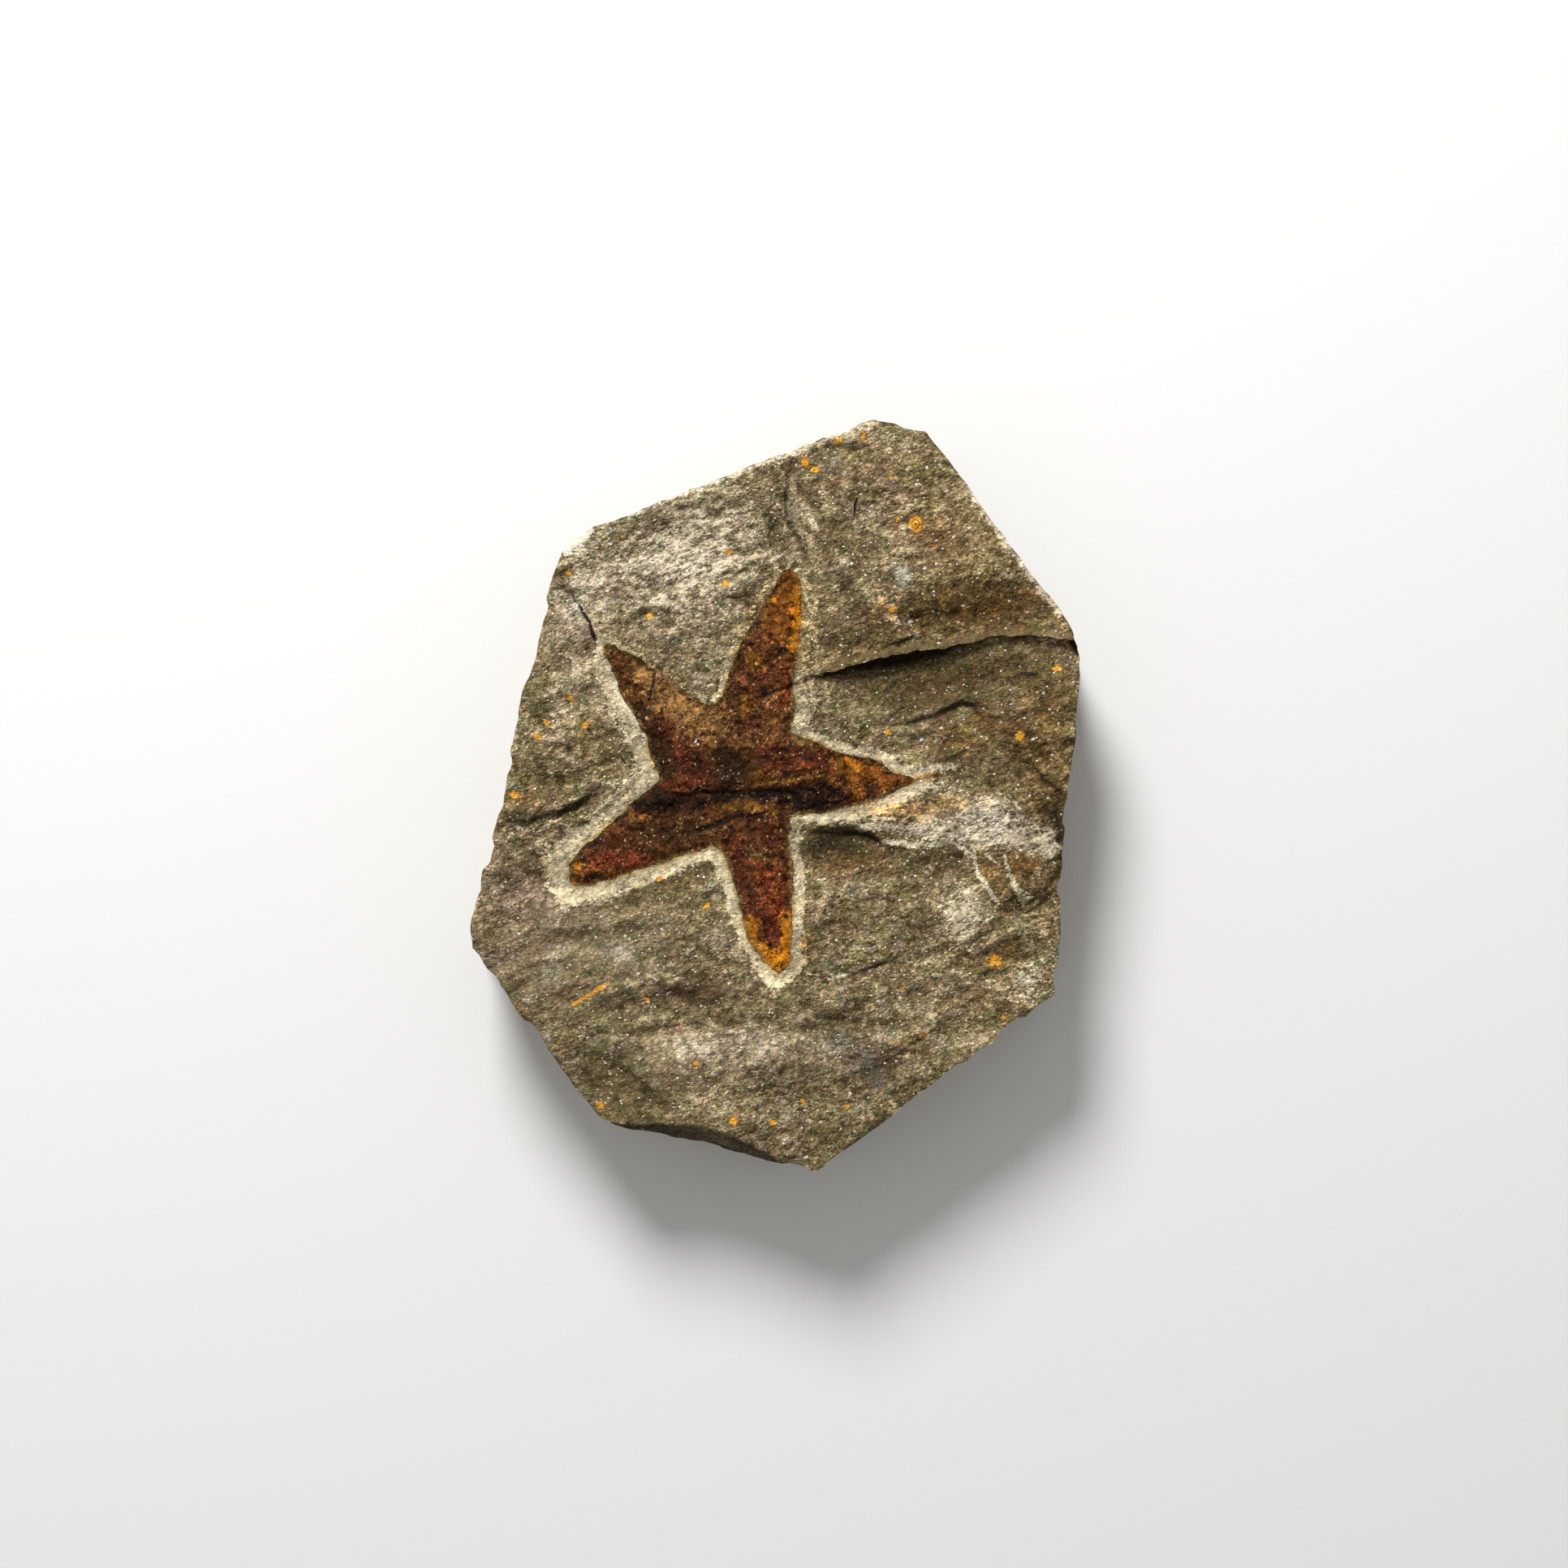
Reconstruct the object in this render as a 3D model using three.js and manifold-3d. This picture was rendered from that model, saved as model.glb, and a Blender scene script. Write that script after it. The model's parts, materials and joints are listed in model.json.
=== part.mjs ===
// A small fossil starfish in a trimmed slab of mica-bearing sandstone.
// Millimetres, +Z up out of the fossil face. The origin is the middle of the outline on the flat
// underside, +X is across the slab, +Y is along it. Two solids: the slab, with a star-shaped pocket,
// and the mineral body of the starfish, seated in that pocket.

import * as THREE from 'three';
import { mergeVertices } from 'three/addons/utils/BufferGeometryUtils.js';
import Module from 'manifold-3d';

// Driving dimensions of the slab.
const SLAB_WIDTH = 65;
const SLAB_LENGTH = 80;
const FACE_HEIGHT = 13.2; // mean height of the split upper face
const SIDE_TOP = 15; // height that the trimmed sides are drawn up to
const RIM_WEAR = 0.7; // how far the worn rim pulls in over its height, at the top and at the foot
const RIM_WEAR_HEIGHT = 2.4;
const SIDE_ROWS = 3;
const SIDE_ROUGHNESS = 0.45;
const FACE_STEP = 1.18; // spacing of the points on the upper face
const CHIP_FALL = 1.3; // how far down the side the chipped corner reaches
const CHIP_BLOCK = 6;
const BROAD_LUMPS = 0.28;
const SMALL_LUMPS = 0.2;

// Driving dimensions of the fossil and of the scraped moat round it.
const STAR_WIDTH = 37.2;
const STAR_LENGTH = 42.8;
const STAR_MIDDLE = [-3.5, 2.4];
const MOAT_DEPTH = 0.9;
const FOSSIL_TOP = 12.0; // mean height of the fossil's upper surface
const FOSSIL_BOTTOM = 9.6;
const SEAT_GAP = 0.3; // left between the fossil and its pocket on every side
const ARM_CROWN = 0.55; // how much fuller an arm is in its middle than at its edge
const ARM_SHOULDER = 1.8; // reached this far inside the edge
const FOSSIL_STEP = 0.85;

// The slab's outline, clockwise from its top corner: straight trimmed edges with small chips.
const SLAB_OUTLINE = [
  [10.2, 40], [12.1, 39.5], [15.8, 38.5], [19.4, 34.3], [25.5, 25.6], [30.2, 19.5], [32.5, 15.9],
  [32.2, 12.4], [31.8, 5.4], [31.1, 1.4], [30.7, -3.7], [30.2, -9.6], [30.2, -15.3], [29.6, -21],
  [26.9, -23.2], [21.3, -27.4], [15.6, -31.4], [8.6, -36.9], [4, -40], [2.6, -39.7], [-4.3, -38.3],
  [-12.6, -36.3], [-17.2, -35.2], [-18.8, -34.4], [-20.9, -31.9], [-24.7, -26.8], [-30.2, -19.1],
  [-32.4, -16.3], [-32.5, -14.6], [-32.1, -11.6], [-30.3, -5], [-29.3, -1.2], [-28.2, 5.2],
  [-27.1, 10.5], [-25.5, 15.4], [-24.7, 19.2], [-23.9, 23.3], [-22.7, 25.9], [-21.3, 27.4],
  [-19.6, 28.4], [-17.5, 29.1], [-10.7, 31.9], [-3.2, 34.8], [2.1, 36.8], [5.9, 38.4],
];

// The starfish's outline, clockwise from the tip of its top arm. The third number at each point is
// how wide the matrix has been scraped away beside it.
const STAR_OUTLINE = [
  [1.7, 23.8, 0.8], [2.5, 22.2, 1.2], [2.5, 19, 1.9], [2.2, 15.4, 2.2], [1.7, 11.5, 2.2],
  [1.5, 6.6, 2], [4, 5.6, 1.1], [6.2, 4.7, 1.1], [10.5, 3.7, 1.1], [12.4, 2.4, 1.2],
  [15.1, 1.6, 1.4], [12.3, 0.4, 1.6], [9.5, -0.7, 1.7], [6.5, -1.3, 1.7], [4.6, -1.9, 1.5],
  [1.4, -2.1, 1.4], [1.2, -5.2, 1.5], [1.5, -8.5, 1.6], [1.6, -15.1, 1.6], [1, -18, 1.6],
  [0.2, -18.9, 1.6], [-1, -17.9, 1.7], [-2.4, -15.8, 1.7], [-3.5, -13.4, 1.7], [-4.1, -10.2, 1.7],
  [-5.6, -6.3, 1.6], [-6.8, -5.5, 1.5], [-9.3, -6.2, 1.6], [-12.9, -7.4, 1.7], [-17, -8.8, 2],
  [-21, -9.7, 2.2], [-22, -9, 2.6], [-21.8, -7.2, 3], [-20.3, -5.1, 2.8], [-18, -2.8, 2.2],
  [-15.2, -0.5, 2.1], [-13, 1, 2.2], [-13.7, 4.2, 2.3], [-14.1, 6.7, 2.3], [-16.2, 10.1, 2.3],
  [-17.7, 13.5, 2.1], [-18.5, 16.2, 1], [-17.2, 15.7, 0.9], [-14.4, 14.4, 0.9],
  [-12.3, 12.8, 0.9], [-9.9, 11.1, 0.9], [-8.1, 9.8, 0.9], [-6.6, 9.5, 0.9], [-5.6, 10.8, 1],
  [-4.9, 13.4, 1.1], [-3.7, 16.3, 1.2], [-2.1, 18.6, 1.2], [-0.4, 21.6, 1], [0.4, 23.4, 0.8],
];

// The ledges where the stone split from one layer to another. Each is drawn from west to east, with
// the stone lower on its south side: the third number is the drop there. The drop is reached over
// `run` millimetres, and the stone rises back to the face over about `reach` millimetres.
const LEDGES = [
  { // the main ledge, from beside the top arm to the right-hand edge
    line: [
      [4.4, 12.8, 0.2], [7.5, 14, 1.1], [10.5, 14.8, 2], [13.5, 15.4, 2.1], [17, 15.9, 1.8],
      [20.6, 16.5, 1.3], [23.5, 17.1, 1], [27, 17.2, 0.9], [32.5, 16.6, 0.9],
    ],
    run: 0.5, reach: 9,
  },
  { // a lesser ledge below it
    line: [
      [11.2, 7.7, 0], [13.4, 7.9, 0.4], [16.7, 8.8, 0.6], [19.5, 10.1, 0.6], [21.9, 9.7, 0.5],
      [23.9, 8.7, 0],
    ],
    run: 0.4, reach: 4,
  },
  { // from the left edge to the moat
    line: [[-25.7, -2.7, 0], [-23.4, -1.9, 0.6], [-20.3, 0, 0.9], [-18, 1.4, 0]],
    run: 0.4, reach: 4,
  },
  { // the lip south of the right arm and of the scraped trail
    line: [
      [3.4, -3.6, 0.2], [8, -4, 0.8], [11.3, -4.3, 1], [13.8, -4.3, 0.8], [17.6, -5.3, 0.7],
      [20.4, -5.6, 0.5], [23, -7.5, 0],
    ],
    run: 0.4, reach: 5,
  },
  { // a faint step in the lower half
    line: [[6.2, -18.9, 0], [9.2, -18.2, 0.4], [12.6, -17, 0.3], [15, -16.6, 0]],
    run: 0.5, reach: 3,
  },
  { // the dark scoop struck off the bottom edge
    line: [
      [-18.7, -34.4, 0], [-15.5, -34.6, 1.6], [-11, -34.7, 3.6], [-8.2, -34.9, 4.6],
      [-5.5, -35.5, 4.6], [-3.5, -36.3, 4], [-0.8, -37.8, 3], [1.5, -39, 1.4], [3.5, -39.9, 0],
    ],
    run: 2.6, reach: 400,
  },
];

// The step across the fossil's disc and into its right arm, drawn like a ledge of the stone.
const DISC_STEP = {
  line: [[-14, 0.2, 0.2], [-8.8, 0.6, 0.6], [-2.1, 0.9, 0.7], [2, 1.2, 0.8], [7.4, 1.2, 0]],
  run: 0.5, reach: 3,
};

// Lumps and hollows of the split face: middle, radii across and along, turn in degrees, height.
const SWELLS = [
  { at: [1.2, 30], radii: [2.2, 8], turn: 6, rise: -0.9 }, // valley above the top arm
  { at: [4.8, 27], radii: [2.6, 6], turn: 6, rise: 0.4 }, // its eastern shoulder
  { at: [-15, 27], radii: [9, 7], turn: -25, rise: -0.9 }, // the bright corner facet, falling away
  { at: [-9, 18], radii: [7, 4], turn: -20, rise: 0.4 },
  { at: [15, 21], radii: [8, 4], turn: 12, rise: 0.8 }, // the thick layer north of the main ledge
  { at: [27, 21], radii: [5, 4], turn: -40, rise: -0.5 },
  { at: [20, 4], radii: [9, 5], turn: 10, rise: -0.5 }, // the dull hollow between the ledges
  { at: [-24, 8], radii: [5, 9], turn: 10, rise: 0.5 },
  { at: [-20, -16], radii: [9, 5], turn: -10, rise: 0.5 },
  { at: [-8, -21.5], radii: [7, 2.6], turn: 8, rise: -0.5 },
  { at: [-6, -29], radii: [10, 3.4], turn: 6, rise: 0.6 }, // the bright swell near the bottom
  { at: [-18, -30], radii: [5, 5], turn: 0, rise: -1.1 },
  { at: [14, -12], radii: [8, 4], turn: 12, rise: 0.5 },
  { at: [20, -22], radii: [7, 4], turn: 35, rise: -0.6 },
  { at: [27, -17], radii: [3, 5], turn: 0, rise: -0.7 },
];

// Thin gaping cracks: the plan of each, and how deep it goes. The long ones lean under the stone on
// their north side.
const CRACKS = [
  { // under the main ledge
    plan: [
      [4.4, 12.8], [7.5, 14.05], [10.5, 14.9], [13.5, 15.5], [17, 16], [20.6, 16.6], [20.6, 16.1],
      [17, 15], [14, 14.2], [11.5, 13.8], [8, 13.3],
    ],
    bottom: 9.6, lean: 0.35,
  },
  {
    plan: [[13.4, 8], [16.7, 8.9], [19.5, 10.3], [21.9, 9.9], [19.8, 9.6], [17, 8.3]],
    bottom: 11.6, lean: 0.3,
  },
  { // the short upright crack near the top
    plan: [[8.2, 31.6], [8.7, 31.6], [8.5, 30.3], [8.1, 29.3], [8, 30.5]],
    bottom: 12.2, lean: 0,
  },
  { // behind the loose flake at the upper left edge
    plan: [
      [-21.9, 22.1], [-21.2, 21.2], [-20, 19.3], [-19.1, 17.8], [-18.9, 16.3], [-19.5, 16.4],
      [-19.9, 18], [-21, 19.9], [-21.8, 21],
    ],
    bottom: 11.6, lean: 0,
  },
];

const wasm = await Module();
wasm.setup();

const CORNER_TIE = 1e-6; // distances closer than this are the same corner of a drawn line
const BODY_MARGIN = 1;
const BODY_DEPTH = 5000;
const smooth = (low, high, value) => THREE.MathUtils.smoothstep(value, low, high);

// A repeatable number from 0 to 1 for each corner of a lattice.
function cornerValue(x, y, z) {
  const mixed = Math.sin(x * 127.1 + y * 311.7 + z * 74.7) * 43758.5453;
  return mixed - Math.floor(mixed);
}

// Smooth lumps from -1 to 1, one lump to each `size` millimetres.
function lumps(x, y, z, size) {
  const place = [x / size, y / size, z / size];
  const low = place.map(Math.floor);
  const share = place.map((value, axis) => smooth(0, 1, value - low[axis]));
  let total = 0;
  for (let corner = 0; corner < 8; corner += 1) {
    const step = [corner & 1, (corner >> 1) & 1, (corner >> 2) & 1];
    const weight = step.reduce((product, up, axis) => product * (up ? share[axis] : 1 - share[axis]), 1);
    total += weight * cornerValue(low[0] + step[0], low[1] + step[1], low[2] + step[2]);
  }
  return total * 2 - 1;
}

// The nearest point of a drawn line: how far it is, whether the place is on the line's right-hand
// side as drawn, and the line's third number there. Where a corner is nearest to both of the
// stretches that meet in it, the stretch that the place stands off further tells the side.
function nearest(line, x, y, closed) {
  let best = { distance: Infinity, standOff: 0, onRight: false, value: 0 };
  const last = closed ? line.length : line.length - 1;
  for (let start = 0; start < last; start += 1) {
    const [ax, ay, aValue = 0] = line[start];
    const [bx, by, bValue = 0] = line[(start + 1) % line.length];
    const run = [bx - ax, by - ay];
    const length = Math.hypot(run[0], run[1]);
    const along = (x - ax) * run[0] + (y - ay) * run[1];
    const share = THREE.MathUtils.clamp(along / length ** 2, 0, 1);
    const distance = Math.hypot(x - ax - share * run[0], y - ay - share * run[1]);
    const leftward = (run[0] * (y - ay) - run[1] * (x - ax)) / length;
    const nearer = distance < best.distance - CORNER_TIE;
    const sameCorner = distance < best.distance + CORNER_TIE && Math.abs(leftward) > best.standOff;
    if (nearer || sameCorner) {
      const value = THREE.MathUtils.lerp(aValue, bValue, share);
      best = { distance, standOff: Math.abs(leftward), onRight: leftward < 0, value };
    }
  }
  return best;
}

// How far a ledge lowers the place.
function fallBelow({ line, run, reach }, x, y) {
  const edge = nearest(line, x, y, false);
  return edge.onRight ? edge.value * smooth(0, run, edge.distance) * Math.exp(-edge.distance / reach) : 0;
}

// How much a swell lifts the place.
function swellAt({ at, radii, turn, rise }, x, y) {
  const place = new THREE.Vector2(x - at[0], y - at[1]);
  place.rotateAround(new THREE.Vector2(), -THREE.MathUtils.degToRad(turn));
  return rise * Math.exp(-((place.x / radii[0]) ** 2) - (place.y / radii[1]) ** 2);
}

// The height of the stone's upper face, with the moat scraped into it.
function faceHeight(x, y) {
  let height = FACE_HEIGHT + BROAD_LUMPS * lumps(x, y, 0, 5) + SMALL_LUMPS * lumps(x, y, 3, 2.4);
  for (const swell of SWELLS) height += swellAt(swell, x, y);
  for (const ledge of LEDGES) height -= fallBelow(ledge, x, y);
  const moat = nearest(STAR_OUTLINE, x, y, true);
  const scraped = moat.onRight ? 1 : 1 - smooth(moat.value * 0.55, moat.value + 0.5, moat.distance);
  return height - MOAT_DEPTH * scraped;
}

// The height of the fossil's upper surface: full in the middle of each arm, low at its edge, with the
// step across the disc.
function fossilHeight(x, y) {
  const edge = nearest(STAR_OUTLINE, x, y, true);
  const inside = edge.onRight ? edge.distance : 0;
  const crown = ARM_CROWN * smooth(0, ARM_SHOULDER, inside);
  return FOSSIL_TOP + crown - fallBelow(DISC_STEP, x, y) + SMALL_LUMPS * lumps(x, y, 7, 1.7);
}

function toSolid(geometry) {
  const bare = geometry.clone();
  bare.deleteAttribute('normal');
  bare.deleteAttribute('uv');
  const merged = mergeVertices(bare, 1e-4);
  return new wasm.Manifold(new wasm.Mesh({
    numProp: 3,
    vertProperties: new Float32Array(merged.attributes.position.array),
    triVerts: new Uint32Array(merged.index.array),
  }));
}

function toGeometry(solid) {
  const { vertProperties, triVerts } = solid.getMesh();
  const geometry = new THREE.BufferGeometry();
  geometry.setAttribute('position', new THREE.BufferAttribute(new Float32Array(vertProperties), 3));
  geometry.setIndex(new THREE.BufferAttribute(new Uint32Array(triVerts), 1));
  geometry.computeVertexNormals();
  return geometry;
}

// A body under the height function, a little wider and longer than what is cut out of it. Its walls
// run down to one point far below, so nearly upright, and the cut gives it its sides and its bottom.
function bodyUnder(heightAt, width, length, middle, step) {
  const [wide, long] = [width + 2 * BODY_MARGIN, length + 2 * BODY_MARGIN];
  const columns = Math.round(wide / step);
  const rows = Math.round(long / step);
  const face = new THREE.PlaneGeometry(wide, long, columns, rows);
  face.translate(middle[0], middle[1], 0);
  const points = Array.from(face.attributes.position.array);
  for (let index = 0; index < points.length; index += 3) {
    points[index + 2] = heightAt(points[index], points[index + 1]);
  }
  const deepPoint = points.length / 3;
  points.push(0, 0, -BODY_DEPTH);
  // The rim of the face, clockwise seen from above, starting at its back left corner.
  const at = (column, row) => row * (columns + 1) + column;
  const rim = [];
  for (let column = 0; column < columns; column += 1) rim.push(at(column, 0));
  for (let row = 0; row < rows; row += 1) rim.push(at(columns, row));
  for (let column = columns; column > 0; column -= 1) rim.push(at(column, rows));
  for (let row = rows; row > 0; row -= 1) rim.push(at(0, row));
  const corners = Array.from(face.index.array);
  rim.forEach((corner, place) => corners.push(corner, rim[(place + 1) % rim.length], deepPoint));
  const geometry = new THREE.BufferGeometry();
  geometry.setAttribute('position', new THREE.Float32BufferAttribute(points, 3));
  geometry.setIndex(corners);
  return toSolid(geometry);
}

function shapeOf(points) {
  return new THREE.Shape(points.map(([x, y]) => new THREE.Vector2(x, y)));
}

// An outline drawn clockwise, moved outwards by the given distance.
function grown(outline, distance) {
  return outline.map(([x, y], index) => {
    const before = outline[(index + outline.length - 1) % outline.length];
    const after = outline[(index + 1) % outline.length];
    const arriving = new THREE.Vector2(x - before[0], y - before[1]).normalize();
    const leaving = new THREE.Vector2(after[0] - x, after[1] - y).normalize();
    const outwards = new THREE.Vector2(-arriving.y - leaving.y, arriving.x + leaving.x).normalize();
    const mitre = Math.max(0.35, outwards.dot(new THREE.Vector2(-arriving.y, arriving.x)));
    return [x + (outwards.x * distance) / mitre, y + (outwards.y * distance) / mitre];
  });
}

function prism(outline, bottom, top) {
  const geometry = new THREE.ExtrudeGeometry(shapeOf(outline), { depth: top - bottom, bevelEnabled: false });
  geometry.translate(0, 0, bottom);
  return toSolid(geometry);
}

// The slab's sides: trimmed walls, a little rough, worn in at the rim and at the foot.
function sides() {
  const geometry = new THREE.ExtrudeGeometry(shapeOf(SLAB_OUTLINE), {
    depth: SIDE_TOP - RIM_WEAR_HEIGHT * 2,
    steps: SIDE_ROWS,
    bevelThickness: RIM_WEAR_HEIGHT,
    bevelSize: RIM_WEAR,
    bevelOffset: -RIM_WEAR,
    bevelSegments: 1,
  });
  geometry.translate(0, 0, RIM_WEAR_HEIGHT);
  const points = geometry.attributes.position;
  for (let index = 0; index < points.count; index += 1) {
    const [x, y, z] = [points.getX(index), points.getY(index), points.getZ(index)];
    const wallRow = z > 0.1 && z < SIDE_TOP - 0.1;
    const pull = wallRow ? SIDE_ROUGHNESS * (0.5 + 0.5 * lumps(x, y, z, 6)) : 0;
    const away = Math.hypot(x, y);
    points.setXYZ(index, x * (1 - pull / away), y * (1 - pull / away), z);
  }
  return toSolid(geometry);
}

function crack({ plan, bottom, lean }) {
  const geometry = new THREE.ExtrudeGeometry(shapeOf(plan), { depth: SIDE_TOP - bottom, bevelEnabled: false });
  const points = geometry.attributes.position;
  for (let index = 0; index < points.count; index += 1) {
    const z = points.getZ(index) + bottom;
    points.setXYZ(index, points.getX(index), points.getY(index) + lean * (FACE_HEIGHT - z), z);
  }
  return toSolid(geometry);
}

// The flake struck off the rim at the upper left corner: a slanting flat from the face to the side.
function cornerChip() {
  const [start, end] = [new THREE.Vector3(-23.5, 24.6, 0), new THREE.Vector3(-17.5, 29.1, 0)];
  const along = end.clone().sub(start).normalize();
  const slant = new THREE.Vector3(-along.y, along.x, 1.2).normalize();
  const geometry = new THREE.BoxGeometry(end.distanceTo(start) + 1, CHIP_BLOCK, CHIP_BLOCK);
  const turn = new THREE.Matrix4().makeBasis(along, slant.clone().cross(along), slant);
  geometry.applyMatrix4(turn);
  const middle = start.lerp(end, 0.5).addScaledVector(slant, CHIP_BLOCK / 2);
  geometry.translate(middle.x, middle.y, middle.z + FACE_HEIGHT - CHIP_FALL);
  return toSolid(geometry);
}

const stone = new THREE.MeshStandardMaterial({ color: 0x837456, roughness: 0.9, metalness: 0 });
stone.name = 'matrix_stone';
const ironMineral = new THREE.MeshStandardMaterial({ color: 0x6b3c1c, roughness: 0.75, metalness: 0 });
ironMineral.name = 'fossil_mineral';

let slab = bodyUnder(faceHeight, SLAB_WIDTH, SLAB_LENGTH, [0, 0], FACE_STEP).intersect(sides());
slab = slab.subtract(cornerChip());
slab = slab.subtract(prism(grown(STAR_OUTLINE, SEAT_GAP), FOSSIL_BOTTOM - SEAT_GAP, SIDE_TOP));
for (const gap of CRACKS) {
  slab = slab.subtract(crack(gap));
}
const fossil = bodyUnder(fossilHeight, STAR_WIDTH, STAR_LENGTH, STAR_MIDDLE, FOSSIL_STEP)
  .intersect(prism(STAR_OUTLINE, FOSSIL_BOTTOM, SIDE_TOP));

const matrixSlab = new THREE.Mesh(toGeometry(slab), stone);
matrixSlab.name = 'matrix_slab';
const starfish = new THREE.Mesh(toGeometry(fossil), ironMineral);
starfish.name = 'starfish';

const part = new THREE.Group();
part.name = 'fossil_starfish';
part.add(matrixSlab, starfish);

export default part;
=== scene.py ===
import json
import math

import bmesh
import bpy
import numpy as np
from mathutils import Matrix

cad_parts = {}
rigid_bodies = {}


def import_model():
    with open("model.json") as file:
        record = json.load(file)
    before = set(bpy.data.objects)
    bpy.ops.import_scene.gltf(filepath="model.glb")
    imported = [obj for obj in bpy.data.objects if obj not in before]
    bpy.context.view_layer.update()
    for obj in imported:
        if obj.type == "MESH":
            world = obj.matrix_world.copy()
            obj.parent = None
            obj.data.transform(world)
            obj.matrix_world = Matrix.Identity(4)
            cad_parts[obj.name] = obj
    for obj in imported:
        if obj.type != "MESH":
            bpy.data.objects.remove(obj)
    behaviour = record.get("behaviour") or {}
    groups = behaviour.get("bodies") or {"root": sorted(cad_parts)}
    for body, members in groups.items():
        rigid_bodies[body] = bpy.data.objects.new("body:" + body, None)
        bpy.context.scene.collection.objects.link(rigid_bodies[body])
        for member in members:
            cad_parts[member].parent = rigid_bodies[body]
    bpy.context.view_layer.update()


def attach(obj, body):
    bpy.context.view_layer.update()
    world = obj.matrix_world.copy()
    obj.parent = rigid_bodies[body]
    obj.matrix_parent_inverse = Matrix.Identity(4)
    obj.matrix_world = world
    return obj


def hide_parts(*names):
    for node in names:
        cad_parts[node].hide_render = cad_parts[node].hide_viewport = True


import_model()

for leftover in list(bpy.data.objects):  # what a new Blender file starts with
    if leftover.name in ("Cube", "Camera", "Light"):
        bpy.data.objects.remove(leftover)


# ---- The matrix slab ----
# A loose hand slab of grey-olive sandstone, full of mica. It split along its bedding, which left a
# lumpy face with ledges, and its edges were trimmed. The stone round the fossil was scraped away.
# Its lengths are in millimetres, and become metres when they go into the mesh.
MM = 0.001
FACE_HEIGHT = 13.2
SLAB_WIDTH, SLAB_LENGTH = 65, 80
SLAB_OUTLINE = [  # clockwise from the top corner
    (10.2, 40), (12.1, 39.5), (15.8, 38.5), (19.4, 34.3), (25.5, 25.6), (30.2, 19.5), (32.5, 15.9),
    (32.2, 12.4), (31.8, 5.4), (31.1, 1.4), (30.7, -3.7), (30.2, -9.6), (30.2, -15.3), (29.6, -21),
    (26.9, -23.2), (21.3, -27.4), (15.6, -31.4), (8.6, -36.9), (4, -40), (2.6, -39.7), (-4.3, -38.3),
    (-12.6, -36.3), (-17.2, -35.2), (-18.8, -34.4), (-20.9, -31.9), (-24.7, -26.8), (-30.2, -19.1),
    (-32.4, -16.3), (-32.5, -14.6), (-32.1, -11.6), (-30.3, -5), (-29.3, -1.2), (-28.2, 5.2), (-27.1, 10.5),
    (-25.5, 15.4), (-24.7, 19.2), (-23.9, 23.3), (-22.7, 25.9), (-21.3, 27.4), (-19.6, 28.4), (-17.5, 29.1),
    (-10.7, 31.9), (-3.2, 34.8), (2.1, 36.8), (5.9, 38.4),
]
STAR_OUTLINE = [  # clockwise from the top arm's tip; third, the width scraped beside it
    (1.4, 24, 0.5), (2, 23.6, 0.7), (2.6, 22.3, 1.1), (2.65, 19, 1.9), (2.3, 15.4, 2.2), (1.8, 11.5, 2.6),
    (1.5, 6.6, 2.7), (4, 5.6, 1.1), (6.2, 4.7, 1.1), (10.5, 3.7, 1.1), (12.4, 2.4, 1.2), (15.1, 1.6, 1.4),
    (12.4, 0.2, 1.5), (9.6, -0.9, 1.6), (6.6, -1.5, 1.6), (4.6, -2, 1.4), (1.4, -2.1, 1.3),
    (1.3, -5.2, 1.3), (1.6, -8.5, 1.4), (1.7, -15.1, 1.4), (1.4, -17.6, 1.4), (0.9, -18.7, 1.6),
    (0.2, -19, 1.7), (-1.15, -17.75, 1.5), (-2.4, -15.9, 1.35), (-3.6, -13.4, 1.3), (-4.2, -10.2, 1.35),
    (-5.6, -6.3, 1.5), (-6.8, -5.5, 1.5), (-9.3, -6.2, 1.6), (-12.9, -7.4, 1.7), (-17, -8.8, 2),
    (-21.5, -9.8, 2.2), (-22, -9.1, 2.6), (-21.7, -7.3, 3), (-20.2, -5.3, 2.8), (-17.9, -3.3, 2.2),
    (-15.2, -0.7, 2.1), (-12.4, 1.6, 2.5), (-13.4, 4.3, 2.4), (-14.1, 6.7, 2.1), (-16.2, 10.1, 1.9),
    (-17.7, 13.5, 1.7), (-18.5, 16.2, 0.8), (-17.2, 15.7, 0.7), (-14.4, 14.4, 0.6), (-12.3, 12.8, 0.5),
    (-9.9, 11.1, 0.5), (-8.1, 9.8, 0.6), (-6.6, 9.5, 0.8), (-5.6, 10.8, 0.9), (-4.9, 13.4, 1.1),
    (-3.7, 16.3, 1.2), (-2.1, 18.6, 1.2), (-0.5, 21.6, 0.9), (0.2, 23, 0.7), (0.7, 23.8, 0.5),
]
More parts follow.
